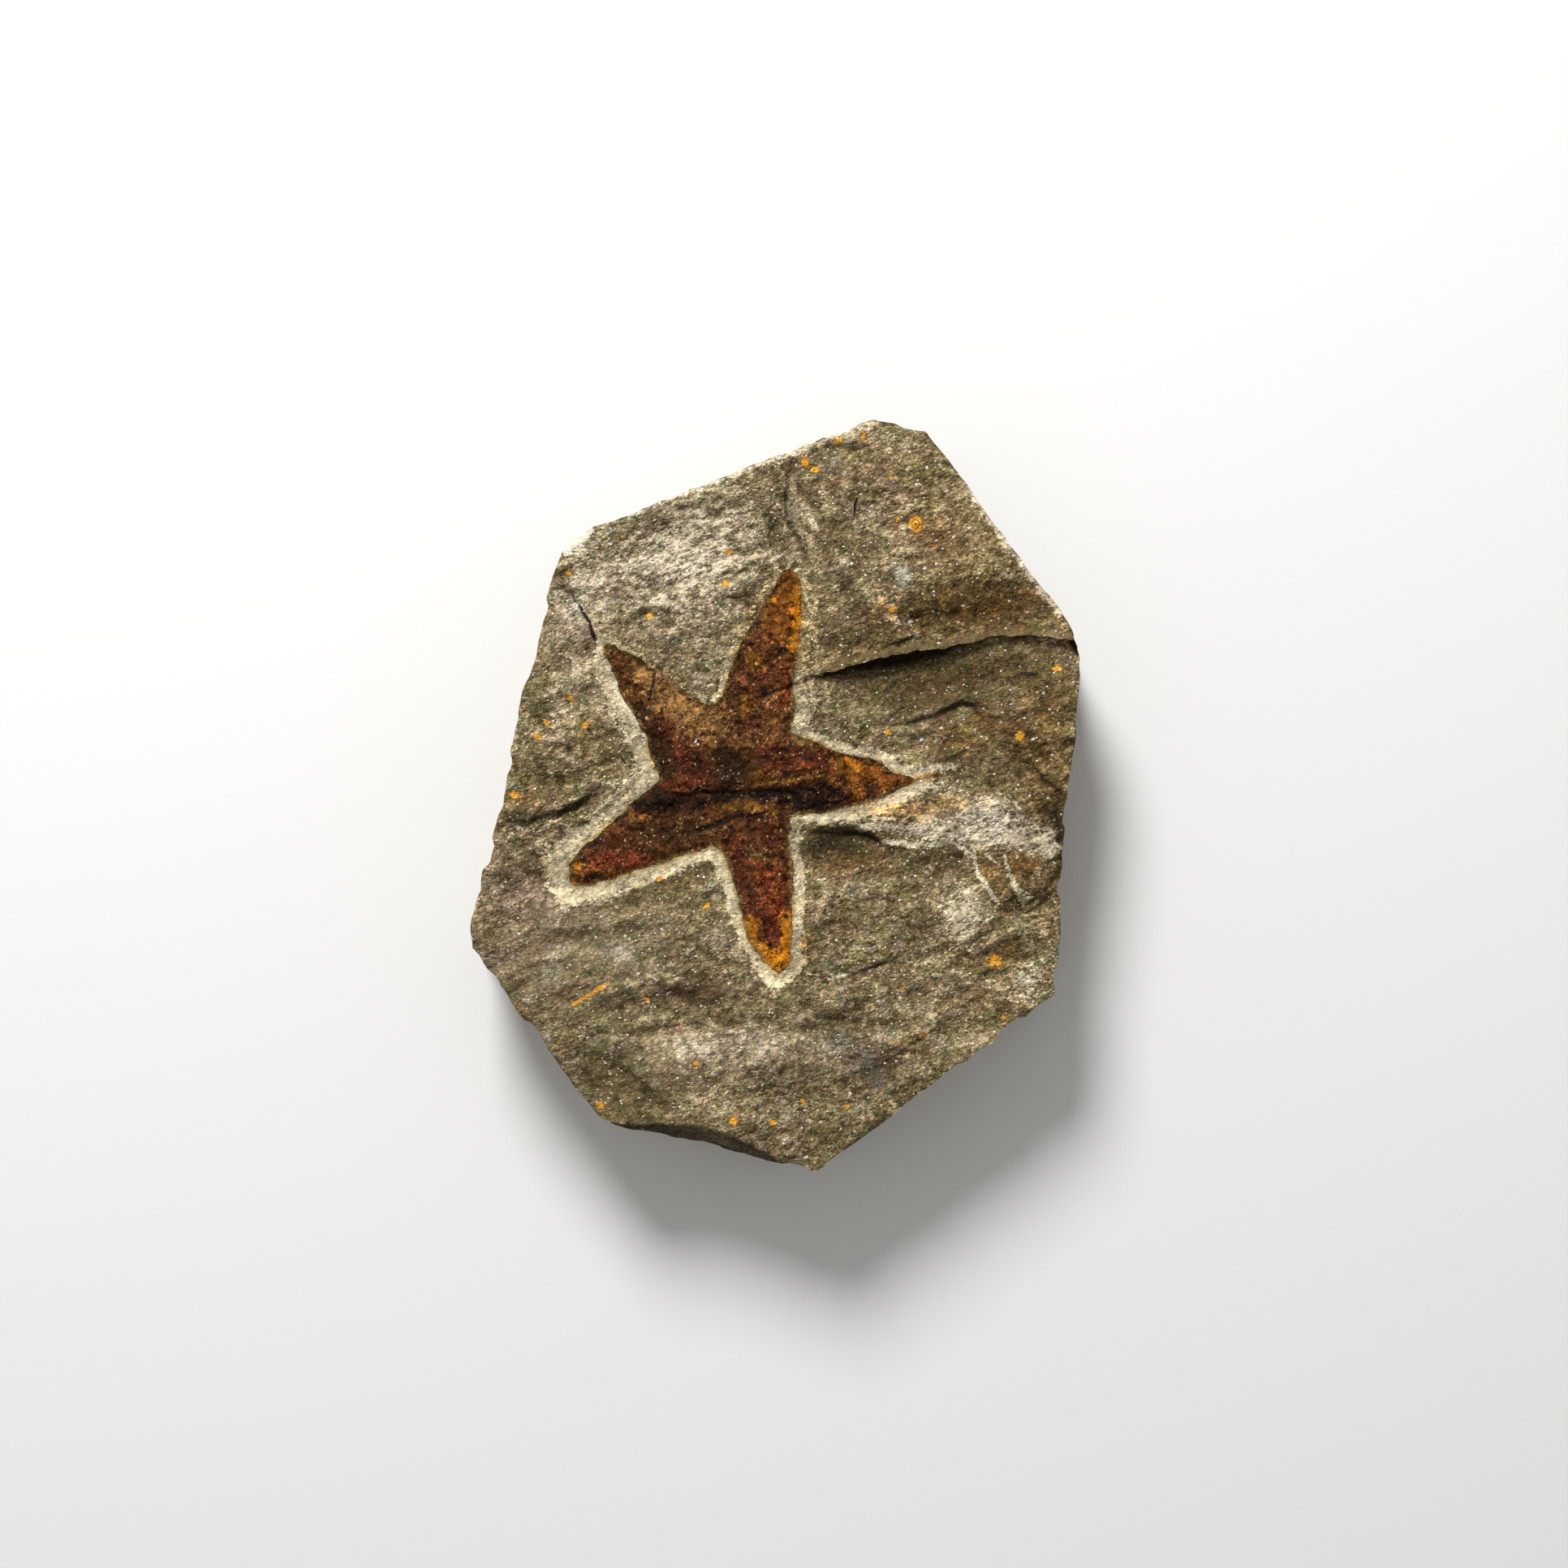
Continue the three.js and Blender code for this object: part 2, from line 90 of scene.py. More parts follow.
# Where one layer ends and the next shows below it, from west to east with the low side south:
# x, y and drop along the ledge, how far out the drop is reached, and how fast the stone comes back.
LEDGES = [
    ([(4.4, 12.8, 0.4), (6, 13.4, 1.1), (7.5, 14, 1.6), (10.5, 14.8, 2), (13.5, 15.4, 2.1),
      (17, 15.9, 1.8), (20.6, 16.5, 1.3), (23.5, 17.1, 1), (27, 17.2, 0.9), (32.5, 16.6, 0.9)], 0.5, 9),
    ([(11.2, 7.7, 0), (13.4, 7.9, 0.4), (16.7, 8.8, 0.6), (19.5, 10.1, 0.6), (21.9, 9.7, 0.5),
      (23.9, 8.7, 0)], 0.4, 4),
    ([(-25.7, -2.7, 0), (-23.4, -1.9, 0.6), (-20.3, 0, 0.9), (-18, 1.4, 0)], 0.4, 4),
    ([(3.4, -3.4, 0.3), (6, -3.3, 0.9), (8.5, -3.4, 1.1), (10.2, -3.9, 1), (11.2, -4.9, 0.6),
      (13.8, -5.6, 0.15), (17.6, -5.9, 0.15), (20.8, -6.4, 0.3), (23, -8, 0)], 0.4, 5),
    ([(6.2, -18.9, 0), (9.2, -18.2, 0.4), (12.6, -17, 0.3), (15, -16.6, 0)], 0.5, 3),
    ([(-17.2, -24.2, 0.1), (-16.2, -27.6, 0.8), (-14, -30, 1.1), (-11.4, -32.2, 1.1), (-10.6, -34.2, 0.6)],
      1.6, 5),
    ([(-18.7, -34.4, 0), (-15.5, -34.6, 1.6), (-11, -34.7, 3.6), (-8.2, -34.9, 4.6), (-5.5, -35.5, 4.6),
      (-3.5, -36.3, 4), (-0.8, -37.8, 3), (1.5, -39, 1.4), (3.5, -39.9, 0)], 2.6, 400),
]
MAIN_LIP, SCOOP_LIP = LEDGES[0][0], LEDGES[-1][0]
SWELLS = [  # lumps and hollows of the split face: x, y, radius across, radius along, turn, rise
    (1.2, 30, 2.2, 8, 6, -0.9), (4.8, 27, 2.6, 6, 6, 0.4), (-15, 27, 9, 7, -25, -0.9),
    (-9, 18, 7, 4, -20, 0.4), (15, 21, 8, 4, 12, 0.8), (27, 21, 5, 4, -40, -0.5), (20, 4, 9, 5, 10, -0.5),
    (-24, 8, 5, 9, 10, 0.5), (-20, -16, 9, 5, -10, 0.5), (-8, -21.5, 7, 2.6, 8, -0.5),
    (-6, -29, 10, 3.4, 6, 0.6), (-18, -30, 5, 5, 0, -1.1), (14, -12, 8, 4, 12, 0.5),
    (20, -22, 7, 4, 35, -0.6), (27, -17, 3, 5, 0, -0.7),
]
VALLEY = [  # the narrow valley north of the top arm
    (2, 36.2), (1.4, 33.8), (0.9, 31), (1.2, 29), (2.1, 27.4), (3, 25.6), (3.5, 24), (4, 21.4),
]
VALLEY_DEPTH = 0.55
FURROWS = [  # shallow furrows and, with depths less than 0, ribs of the split: line, depth, half-width
    ([(1.5, 32.2), (3, 30), (4.6, 27.4)], -0.34, 0.45), ([(2.2, 32), (3.6, 31), (5, 29)], 0.26, 0.35),
    ([(3, 33.2), (4.8, 31.4), (6.6, 29)], -0.22, 0.45), ([(-1.4, 30), (-0.6, 28.6), (0.6, 26.6)], 0.3, 0.8),
    ([(6.8, 24.2), (9.4, 21.8), (12.2, 19.6)], -0.35, 0.8),
    ([(5, 25.6), (7.8, 21.6), (9.6, 18.6)], 0.3, 0.8),
    ([(12, 22.9), (16.6, 21.6), (21, 22.4), (26, 21)], 0.3, 0.6),
    ([(9.5, 17.2), (14, 18.6), (19, 19.2)], 0.22, 0.4),
    ([(-15.6, -25.4), (-9, -24.6), (-2, -24), (4, -25)], 0.3, 0.6),
    ([(-12, -20.6), (-7.4, -22), (-2, -21.6)], 0.3, 0.7),
    ([(20.4, -16), (24, -13.2), (27.4, -11), (30, -8.6)], 0.3, 0.6),
    ([(3, -22.4), (9, -24.6), (14.6, -24)], 0.28, 0.7),
    ([(-26, 12.4), (-21.6, 13.6), (-19.6, 15.6)], 0.25, 0.6),
    ([(-27.6, -16.4), (-21, -14.9), (-14, -14.2)], 0.25, 0.7),
    ([(13.6, 6.2), (18, 6.8), (22.6, 5.6)], -0.25, 0.7),
    ([(2.4, -31.6), (8, -30.4), (12.6, -28)], 0.3, 0.8),
]
MOAT_DEPTH = 0.5
POCKET_FLOOR = 10.3
SHEET_MARGIN = 2  # how much wider and longer than the slab its first sheet is
WALL_ROWS = 13
SAME_CORNER = 1e-6  # two runs of a line are this near to equally far where they share a corner


def smooth(low, high, value):
    """0 below low, 1 above high, and smooth between; the other way round where low is the higher."""
    share = np.clip((value - low) / (high - low), 0, 1)
    return share * share * (3 - 2 * share)


def nearest(line, places, closed=False):
    """How far each place is from a drawn line, more than 0 on its right-hand side, and the line's
    third number there."""
    points = np.array([tuple(point) + (0,) * (3 - len(point)) for point in line], float)
    starts, ends = (points, np.roll(points, -1, axis=0)) if closed else (points[:-1], points[1:])
    count = len(places)
    far, stand_off, side, value = np.full(count, np.inf), np.zeros(count), np.ones(count), np.zeros(count)
    for start, end in zip(starts, ends):
        run = end[:2] - start[:2]
        length = np.hypot(*run)
        away = places[:, :2] - start[:2]
        share = np.clip(away @ run / length**2, 0, 1)
        distance = np.hypot(*(away - share[:, None] * run).T)
        leftward = (run[0] * away[:, 1] - run[1] * away[:, 0]) / length
        same_corner = (distance < far + SAME_CORNER) & (np.abs(leftward) > stand_off)
        better = (distance < far - SAME_CORNER) | same_corner
        far = np.where(better, distance, far)
        stand_off = np.where(better, np.abs(leftward), stand_off)
        side = np.where(better, np.where(leftward < 0, 1, -1), side)
        value = np.where(better, start[2] + share * (end[2] - start[2]), value)
    return far * side, value


def soft_line(line, places, half_width):
    """1 on a drawn line, and fading away past its half-width."""
    out, _ = nearest(line, places)
    return np.exp(-(out / half_width) ** 2)


def lumps(places, size, seed=0):
    """Smooth lumps from about -1 to 1, one to each `size`, which is one number or one per axis."""
    spots = places / np.array(size, float)
    low = np.floor(spots).astype(np.int64)
    part = spots - low
    ease = part**3 * (part * (part * 6 - 15) + 10)
    total = np.zeros(len(places))
    for corner in np.ndindex(2, 2, 2):
        # The corner's own slope, from its three whole numbers scrambled with large odd ones.
        cell = low + corner
        mixed = cell[:, 0] * 73856093 ^ cell[:, 1] * 19349663 ^ cell[:, 2] * 83492791 ^ seed * 2971215
        mixed = (mixed ^ (mixed >> 13)) * 1274126177 & 0x3FFFFFFF
        mixed = (mixed ^ (mixed >> 15)) * 461845907 & 0x3FFFFFFF
        slopes = np.stack([mixed & 1023, mixed >> 10 & 1023, mixed >> 20 & 1023], axis=1) / 511.5 - 1
        weight = np.prod(np.where(corner, ease, 1 - ease), axis=1)
        total += weight * np.sum(slopes * (part - corner), axis=1)
    return total * 1.5


def ridges(places, size, seed=0):
    """Like lumps, but with sharp crests: 1 on a crest, 0 in the hollows."""
    return 1 - np.minimum(1, np.abs(lumps(places, size, seed)) * 2.2)


def layered(places, size, levels, seed):
    """Lumps cut into low steps, as the thin layers of the stone break."""
    level = lumps(places, size, seed) * levels
    whole = np.floor(level)
    return (whole + smooth(0.72, 1, level - whole)) / levels


def turned(places, degrees):
    cos, sin = math.cos(math.radians(degrees)), math.sin(math.radians(degrees))
    x, y = places[:, 0], places[:, 1]
    return np.stack([x * cos + y * sin, y * cos - x * sin, places[:, 2]], axis=1)


def oval(places, x, y, across, along, turn):
    """1 in the middle of an oval, and fading away past its radii."""
    spot = turned(places - (x, y, 0), turn)
    return np.exp(-(spot[:, 0] / across) ** 2 - (spot[:, 1] / along) ** 2)


def patches(places, *ovals):
    """The most that any of the ovals (x, y, radius across, radius along, turn, strength) gives."""
    most = np.zeros(len(places))
    for *shape, strength in ovals:
        most = np.maximum(most, strength * oval(places, *shape))
    return most


def fall_below(ledge, places):
    line, run, reach = ledge
    out, drop = nearest(line, places)
    return np.where(out > 0, drop * smooth(0, run, out) * np.exp(-np.maximum(out, 0) / reach), 0)


def with_bedding(height, flat):
    """The height with the swells, the hollows and the ledges of the split added."""
    for *shape, rise in SWELLS:
        height = height + rise * oval(flat, *shape)
    for ledge in LEDGES:
        height = height - fall_below(ledge, flat)
    return height


def furrowed(flat):
    """How deep the furrows are, and less than 0 on the ribs."""
    return sum(depth * soft_line(line, flat, half_width) for line, depth, half_width in FURROWS)


def scraped_share(places):
    out, width = nearest(STAR_OUTLINE, places, closed=True)
    wander = 0.3 * lumps(places, 1.6, 31)
    return np.where(out > 0, 1, 1 - smooth(width * 0.8, width + 0.3, -out + wander))


def broken_relief(flat):
    """The relief of the split: wide lumps, low steps along the layers, flakes and pits. Also how far
    each place stands proud of its surroundings."""
    drift = np.stack([lumps(flat, 2.4, 7), lumps(flat, 2.4, 8), np.zeros(len(flat))], axis=1)
    along = turned(flat + 0.9 * drift, 15)
    across = turned(flat + 0.4 * drift, 26)
    scraped = scraped_share(flat)
    facet = patches(flat, (-10, 25, 10, 6.5, 20, 1), (-25, -2.8, 4, 1.5, 10, 0.8))
    smooth_floor = patches(
        flat, (17, 12, 10, 3, 8, 0.55), (-9, -13, 7, 3, 0, 0.4), (-12.3, 29.1, 1.7, 0.8, -15, 0.8))
    rough = 0.45 + 0.65 * smooth(-0.35, 0.45, lumps(flat, 9, 10))
    rough = rough * (1 - smooth_floor) * (1 - 0.6 * scraped) * (1 - 0.6 * soft_line(MAIN_LIP, flat, 0.8))
    wide = 0.75 * lumps(along, (8, 5, 1), 1) * (1 - 0.6 * scraped)
    steps = 0.62 * layered(along, (5.5, 2.4, 1), 3, 2)
    flakes = 0.14 * lumps(along, (2.4, 1.2, 1), 3) + 0.24 * layered(along, (1.9, 1, 1), 2, 4)
    crumbs = 0.13 * lumps(turned(flat, 34), 1.05, 5) + 0.08 * lumps(turned(flat, 58), 0.75, 6)
    scratches = scraped * (0.1 * lumps(turned(flat, 38), 1, 12) + 0.05 * lumps(turned(flat, 22), 0.75, 13))
    blades = facet * (0.16 * ridges(across, (1.3, 0.5, 1), 9) + 0.1 * lumps(turned(flat, 40), 0.75, 11))
    proud = rough * (0.5 * steps + flakes + crumbs * 1.5) + blades - 0.08 * facet
    relief = wide + rough * (steps + flakes + crumbs) + blades + scratches
    return relief, np.clip((proud + scratches) / 0.3, -1, 1)


def face_height(places):
    """The split face: broad form, ledges, the moat round the fossil, and the relief of the break."""
    flat = places * (1, 1, 0)
    height = with_bedding(np.full(len(places), float(FACE_HEIGHT)), flat)
    out, width = nearest(STAR_OUTLINE, flat, closed=True)
    wall = 1 - smooth(0.5, 1.0, (-out + 0.15 * lumps(flat, 1.2, 32)) / width)
    north = flat[:, 1]
    height -= VALLEY_DEPTH * soft_line(VALLEY, flat, 0.38) * smooth(20, 25, north) * smooth(38, 34, north)
    height -= furrowed(flat)
    height -= MOAT_DEPTH * np.clip((width - 0.6) / 1.2, 0.2, 1) * np.where(out > 0, 1, wall)
    relief, proud = broken_relief(flat)
    return height + relief * 0.8, proud


def of_kind(geometry, kind):
    return [item for item in geometry if isinstance(item, kind)]


def hull_of(outline):
    """The outline's outermost corners, clockwise."""
    corners = []
    for point in outline + outline[:2]:
        while len(corners) > 1:
            (ax, ay), (bx, by) = corners[-2], corners[-1]
            if (bx - ax) * (point[1] - ay) - (by - ay) * (point[0] - ax) < 0:
                break
            corners.pop()
        corners.append(point)
    return corners[1:-1]


def hung_from(mesh, rim, rows, depth):
    """Hangs rows of wall from the rim, each this deep. Gives the walls and the rim at their foot."""
    walls = []
    for row in range(rows):
        grown = bmesh.ops.extrude_edge_only(mesh, edges=rim)["geom"]
        bmesh.ops.translate(mesh, vec=(0, 0, -depth), verts=of_kind(grown, bmesh.types.BMVert))
        walls += of_kind(grown, bmesh.types.BMFace)
        rim = [edge for edge in of_kind(grown, bmesh.types.BMEdge) if edge.is_boundary]
    return walls, rim


slab = bmesh.new()
sheet_width, sheet_length = SLAB_WIDTH + SHEET_MARGIN, SLAB_LENGTH + SHEET_MARGIN
bmesh.ops.create_grid(slab, x_segments=sheet_width, y_segments=sheet_length, size=0.5)
bmesh.ops.scale(slab, vec=(sheet_width, sheet_length, 1), verts=slab.verts)
trimmed = hull_of(SLAB_OUTLINE)
for (ax, ay), (bx, by) in zip(trimmed, trimmed[1:] + trimmed[:1]):
    bmesh.ops.bisect_plane(slab, geom=slab.verts[:] + slab.edges[:] + slab.faces[:],
                           plane_co=(ax, ay, 0), plane_no=(ay - by, bx - ax, 0), clear_outer=True)
bmesh.ops.remove_doubles(slab, verts=slab.verts, dist=0.25)
bmesh.ops.triangulate(slab, faces=[face for face in slab.faces if len(face.verts) > 4])
# The underside is a second sheet like the first, and rows of wall join the two.
under = bmesh.ops.duplicate(slab, geom=slab.verts[:] + slab.edges[:] + slab.faces[:])["geom"]
under_faces = of_kind(under, bmesh.types.BMFace)
bmesh.ops.reverse_faces(slab, faces=under_faces)
top_faces = [face for face in slab.faces if face.normal.z > 0]
rim = [edge for face in top_faces for edge in face.edges if edge.is_boundary]
walls, rim = hung_from(slab, rim, WALL_ROWS - 1, FACE_HEIGHT / WALL_ROWS)
foot = [edge for face in under_faces for edge in face.edges if edge.is_boundary]
bmesh.ops.translate(slab, vec=(0, 0, -FACE_HEIGHT), verts=of_kind(under, bmesh.types.BMVert))
walls += bmesh.ops.bridge_loops(slab, edges=rim + foot)["faces"]
bmesh.ops.translate(slab, vec=(0, 0, FACE_HEIGHT), verts=slab.verts)
# The face is cut four times finer than the first sheet, and the walls twice.
shown_edges = list({edge for face in top_faces + walls for edge in face.edges})
bmesh.ops.subdivide_edges(slab, edges=shown_edges, cuts=1, use_grid_fill=True)
face_points = [v for v in slab.verts if v.co.z > FACE_HEIGHT - 1e-3]
face_edges = list({edge for v in face_points for edge in v.link_edges
                   if edge.other_vert(v).co.z > FACE_HEIGHT - 1e-3})
bmesh.ops.subdivide_edges(slab, edges=face_edges, cuts=1, use_grid_fill=True)
bmesh.ops.recalc_face_normals(slab, faces=slab.faces)
slab_mesh = bpy.data.meshes.new("stone_slab")
slab.to_mesh(slab_mesh)
slab.free()


def mesh_places(mesh):
    places = np.empty(len(mesh.vertices) * 3)
    mesh.vertices.foreach_get("co", places)
    return places.reshape(-1, 3)


def direction(east, north):
    """The way that leads east and north this much, at a length of 1."""
    way = np.stack([east, north], axis=1)
    return way / np.maximum(np.hypot(east, north), 1e-9)[:, None]


def inward_from(outline, places):
    """The direction that leads straight in from the outline's edge, at each place."""
    step = 0.05
    east, _ = nearest(outline, places + (step, 0, 0), closed=True)
    west, _ = nearest(outline, places - (step, 0, 0), closed=True)
    north, _ = nearest(outline, places + (0, step, 0), closed=True)
    south, _ = nearest(outline, places - (0, step, 0), closed=True)
    return np.pad(direction(east - west, north - south), ((0, 0), (0, 1)))


def draw_onto(places, line, reach, closed=False):
    """Brings the places within reach of a line onto it, so that the line stays crisp in the mesh."""
    step = 0.02
    out, _ = nearest(line, places, closed)
    east, _ = nearest(line, places + (step, 0, 0), closed)
    north, _ = nearest(line, places + (0, step, 0), closed)
    near = np.abs(out) < reach
    places[near, :2] -= (direction(east - out, north - out) * out[:, None])[near]


# Painted shadow: the black shade in the undercut below the main ledge.
LEDGE_SHADOW_LINE = [  # the black undercut below the main ledge; third, its width
    (4.2, 12.6, 0.1), (6, 13.2, 0.7), (8, 13.9, 1), (10, 14.4, 1.35), (12.5, 15, 1.6), (15.5, 15.5, 1.3),
    (18, 15.9, 0.9), (20.6, 16.5, 0.5), (23, 17, 0.35), (26, 17.15, 0.3), (28.3, 17.25, 0.45),
    (30.5, 16.95, 0.2), (30.8, 16.5, 0),
]
CRACKS = [  # x, y and how open it is; then its half-width
    ([(8.5, 31.4, 0.6), (8.3, 30.7, 1), (8.2, 29.6, 0.4)], 0.2),
    ([(-21.6, 21.3, 0.2), (-21.4, 20.6, 0.5), (-20.9, 20.1, 0.7), (-20.3, 19, 1), (-19.8, 18.3, 1),
      (-19.6, 17.5, 1.1), (-19.3, 16.4, 0.9)], 0.24),
    ([(10.8, 15.6, 0.3), (12.2, 16, 0.7), (13.6, 16.5, 1), (14.7, 17, 0.3)], 0.17),
    ([(-16.5, 4.1, 0.4), (-16.3, 3.7, 1), (-16, 3.3, 0.4)], 0.17),
]
EDGE_REACH, LIP_REACH = 0.14, 0.19  # how near a point of the mesh is to a crisp line that it is drawn onto
RIM_WEAR = 0.4
RIM_DROP, RIM_ROUNDING = 0.32, 0.35
FOOT_WEAR = 0.3
LIP_OVERHANG, FOOT_CUT_BACK = 0.4, 0.5


def weathered(places):
    """Small wandering of what was drawn straight, the same for the stone and for the fossil in it."""
    flat = places * (1, 1, 0)
    out, _ = nearest(STAR_OUTLINE, flat, closed=True)
    finely = turned(flat, 37)
    east = lumps(flat, 1.3, 51) + 0.5 * lumps(finely, 0.7, 53)
    north = lumps(flat, 1.3, 52) + 0.5 * lumps(finely, 0.7, 54)
    crumbled = lumps(turned(flat, 33), 1.9, 55) + 0.6 * lumps(turned(flat, 12), 0.9, 56)
    by_star = np.exp(-(out / 1.5) ** 2)
    moved = places + 0.2 * np.stack([east, north, 0 * east], axis=1) * by_star[:, None]
    moved[:, 1] += 0.3 * crumbled * soft_line(MAIN_LIP, flat, 1.2)
    return moved


places = mesh_places(slab_mesh)
share_up = places[:, 2] / FACE_HEIGHT
on_face = share_up > 0.999
# The walls follow the trimmed outline, and are rough, with the thin layers of the stone showing.
from_hull, _ = nearest(trimmed, places, closed=True)
from_edge, _ = nearest(SLAB_OUTLINE, places, closed=True)
inward = inward_from(SLAB_OUTLINE, places)
by_layers = places + (0, 0, 40)
rough_in = 0.1 + 0.16 * lumps(by_layers, (5, 5, 4), 21) + 0.12 * lumps(by_layers, (2.4, 2.4, 0.9), 22)
rough_in += 0.12 * lumps(by_layers, (1.5, 1.5, 1.1), 23)
knapped = 0.5 + 0.8 * lumps(by_layers, (7, 7, 4.5), 29) + 0.5 * layered(by_layers, (9, 9, 3), 3, 30)
rough_in = np.maximum(rough_in, 0) + np.maximum(knapped, 0) * (1 - smooth(0.72, 0.97, share_up))
chips = smooth(0.2, 0.55, lumps(by_layers * (1, 1, 0), 4.5, 24)) * smooth(0.8, 1, share_up) * 0.45
near_top = RIM_WEAR * (0.1 + 0.5 * lumps(by_layers, 2, 25)) * smooth(0.93, 1, share_up)
near_foot = FOOT_WEAR * (1 - smooth(0, 0.06, share_up))
inset = (from_hull - from_edge) + np.clip(rough_in, 0, 1.8) + chips + near_top + near_foot
places += inward * (inset * np.clip(1 - from_hull / 1.6, 0, 1))[:, None]

pocket_edge = [point[:2] for point in STAR_OUTLINE]
face_places = places[on_face]
draw_onto(face_places, pocket_edge, EDGE_REACH, closed=True)
draw_onto(face_places, MAIN_LIP, LIP_REACH)
for line, _ in CRACKS:
    draw_onto(face_places, line, EDGE_REACH)
places[on_face] = face_places
face_top, proud = face_height(places)
from_rim, _ = nearest(SLAB_OUTLINE, places, closed=True)
face_top -= RIM_DROP * np.exp(-np.maximum(from_rim - 0.1, 0) / RIM_ROUNDING) + chips * 0.5
in_star, _ = nearest(STAR_OUTLINE, places, closed=True)
face_top = np.where(in_star > 0.03, POCKET_FLOOR, face_top)
below = places * (1, 1, 0)
foot_level = np.clip(0.12 + 0.3 * lumps(below, 7, 26) + 0.12 * lumps(below, 2, 27), 0, 1)
places[:, 2] = foot_level + share_up * (face_top - foot_level)
edge_fade = smooth(2.4, 0.7, face_top - places[:, 2] + 0.7 * lumps(places, 1.9, 36))

# The main ledge overhangs: its lip leans out and its foot is cut back.
lip_out, lip_drop = nearest(MAIN_LIP, places)
lean = smooth(0.1, 1.6, lip_drop) * on_face
above_lip = lip_out < 0.07
places[:, 1] -= LIP_OVERHANG * lean * smooth(-1.1, -0.1, lip_out) * above_lip
places[:, 1] += FOOT_CUT_BACK * lean * (1 - smooth(0.4, 1.3, lip_out)) * ~above_lip

drawn_places = places
places = np.where(on_face[:, None], weathered(places), places)
slab_mesh.vertices.foreach_set("co", (places * MM).ravel())
# Each small square is cut in two along its shorter diagonal, which keeps the ledges' lips unbroken.
cut = bmesh.new()
cut.from_mesh(slab_mesh)
bmesh.ops.triangulate(cut, faces=cut.faces[:], quad_method="SHORT_EDGE")
cut.to_mesh(slab_mesh)
cut.free()


def shade(mesh, sharp_degrees):
    """Smooth shading, with creases where the faces meet at more than this angle."""
    mesh.polygons.foreach_set("use_smooth", np.ones(len(mesh.polygons), bool))
    mesh.set_sharp_from_angle(angle=math.radians(sharp_degrees))


def put_in_scene(name, data):
    made = bpy.data.objects.new(name, data)
    bpy.context.collection.objects.link(made)
    return made


shade(slab_mesh, 55)
on_lip = on_face & (np.abs(lip_out) < 0.03) & (lip_drop > 0.2)
ends, sharp = np.empty(2 * len(slab_mesh.edges), int), np.empty(len(slab_mesh.edges), bool)
slab_mesh.edges.foreach_get("vertices", ends)
slab_mesh.edges.foreach_get("use_edge_sharp", sharp)
slab_mesh.edges.foreach_set("use_edge_sharp", sharp | on_lip[ends[::2]] & on_lip[ends[1::2]])
slab_mesh.update()
stone_slab = put_in_scene("stone_slab", slab_mesh)

# What marks the stone. A stroke is a line and its half-width, which a third number in the line's
# points changes along it. A spot is x, y, its radii across and along, and its turn in degrees.
SHADES = [  # soft dark lines below small steps of the face
    ([(-23.8, 21.7, 0.6), (-22.8, 22.1, 1), (-22, 21.7, 1), (-21.6, 21.2, 0.7)], 0.55),
    ([(-20.6, 25.6, 0.3), (-19.6, 27.4, 0.8)], 0.25),
    ([(10.6, 15.5, 0.3), (12.4, 16, 1), (14.8, 16.9, 0.4)], 0.4),
    ([(11.2, 7.3, 0.1), (13.4, 7.5, 0.5), (16.7, 8.4, 0.7), (18.4, 9.3, 0.9), (19.8, 9.8, 1.1),
      (20.8, 9.4, 0.9), (21.4, 8.7, 1.3), (22.8, 8.3, 0.7), (24, 8.2, 0.2)], 0.42),
    ([(17.2, 3.5, 0.3), (18.8, 4, 1), (20.4, 4.9, 0.4)], 0.4),
    ([(27.4, 2.8, 0.4), (28.6, 1.4, 1), (29.8, 0.6, 0.5)], 0.5),
    ([(29.7, -2.6, 0.5), (29.9, -3.8, 1), (29.8, -5, 0.4)], 0.5),
    ([(-28.6, -2.6, 0.3), (-26.4, -2.9, 1), (-24.2, -2, 0.7), (-21.8, -1.4, 1), (-19.8, 0, 0.5)], 0.5),
    ([(-25.6, -4.2, 0.3), (-23.4, -3.4, 0.8), (-21.6, -3.4, 0.2)], 0.35),
    ([(7.2, -18.8, 0.3), (10.2, -18.2, 0.9), (12.8, -17.2, 0.4)], 0.3),
    ([(24.6, 12.4, 0.2), (26.4, 13, 0.8), (28, 12.6, 0.3)], 0.4),
    ([(26.4, -12.6, 0.3), (28.4, -11.2, 0.9), (29.8, -9.6, 0.5)], 0.4),
    ([(2.6, -3.8, 0.3), (5.4, -4, 0.7), (8.4, -4.1, 0.9), (10.2, -4.5, 0.9), (11.1, -5.2, 0.4)], 0.5),
]
POWDER_STROKES = [
    ([(9, -3.4, 0.5), (13, -3.4, 0.8), (18.7, -4.2, 1.1), (24, -4.2, 1.8), (28.8, -5.4, 1.6)], 1.1),
    ([(20, -1.2), (23.6, -0.8)], 0.8), ([(2.4, -2.5, 0.7), (6, -2.2, 1), (10.6, -2.5, 0.8)], 0.36),
    ([(11.2, 0.2, 0.4), (14.4, -0.9, 1), (18.4, -1.7, 0.4)], 0.6), ([(12, -1.8), (16.4, -2.4)], 0.4),
    ([(14, 2.2, 0.6), (17, 2.9, 1), (20, 2.9, 0.3)], 0.6), ([(9.6, -1.6), (13.8, 0.2)], 0.35),
    ([(20.6, 32.1), (25.2, 25.5), (30, 19.3)], 0.5),
    ([(-16, 29.4), (-10.7, 31.6), (-3.2, 34.5), (2.1, 36.5), (10, 39.6)], 0.35),
    ([(3.6, -19.7, 0.3), (7.4, -19, 1), (10.4, -17.9, 0.3)], 0.4),
]
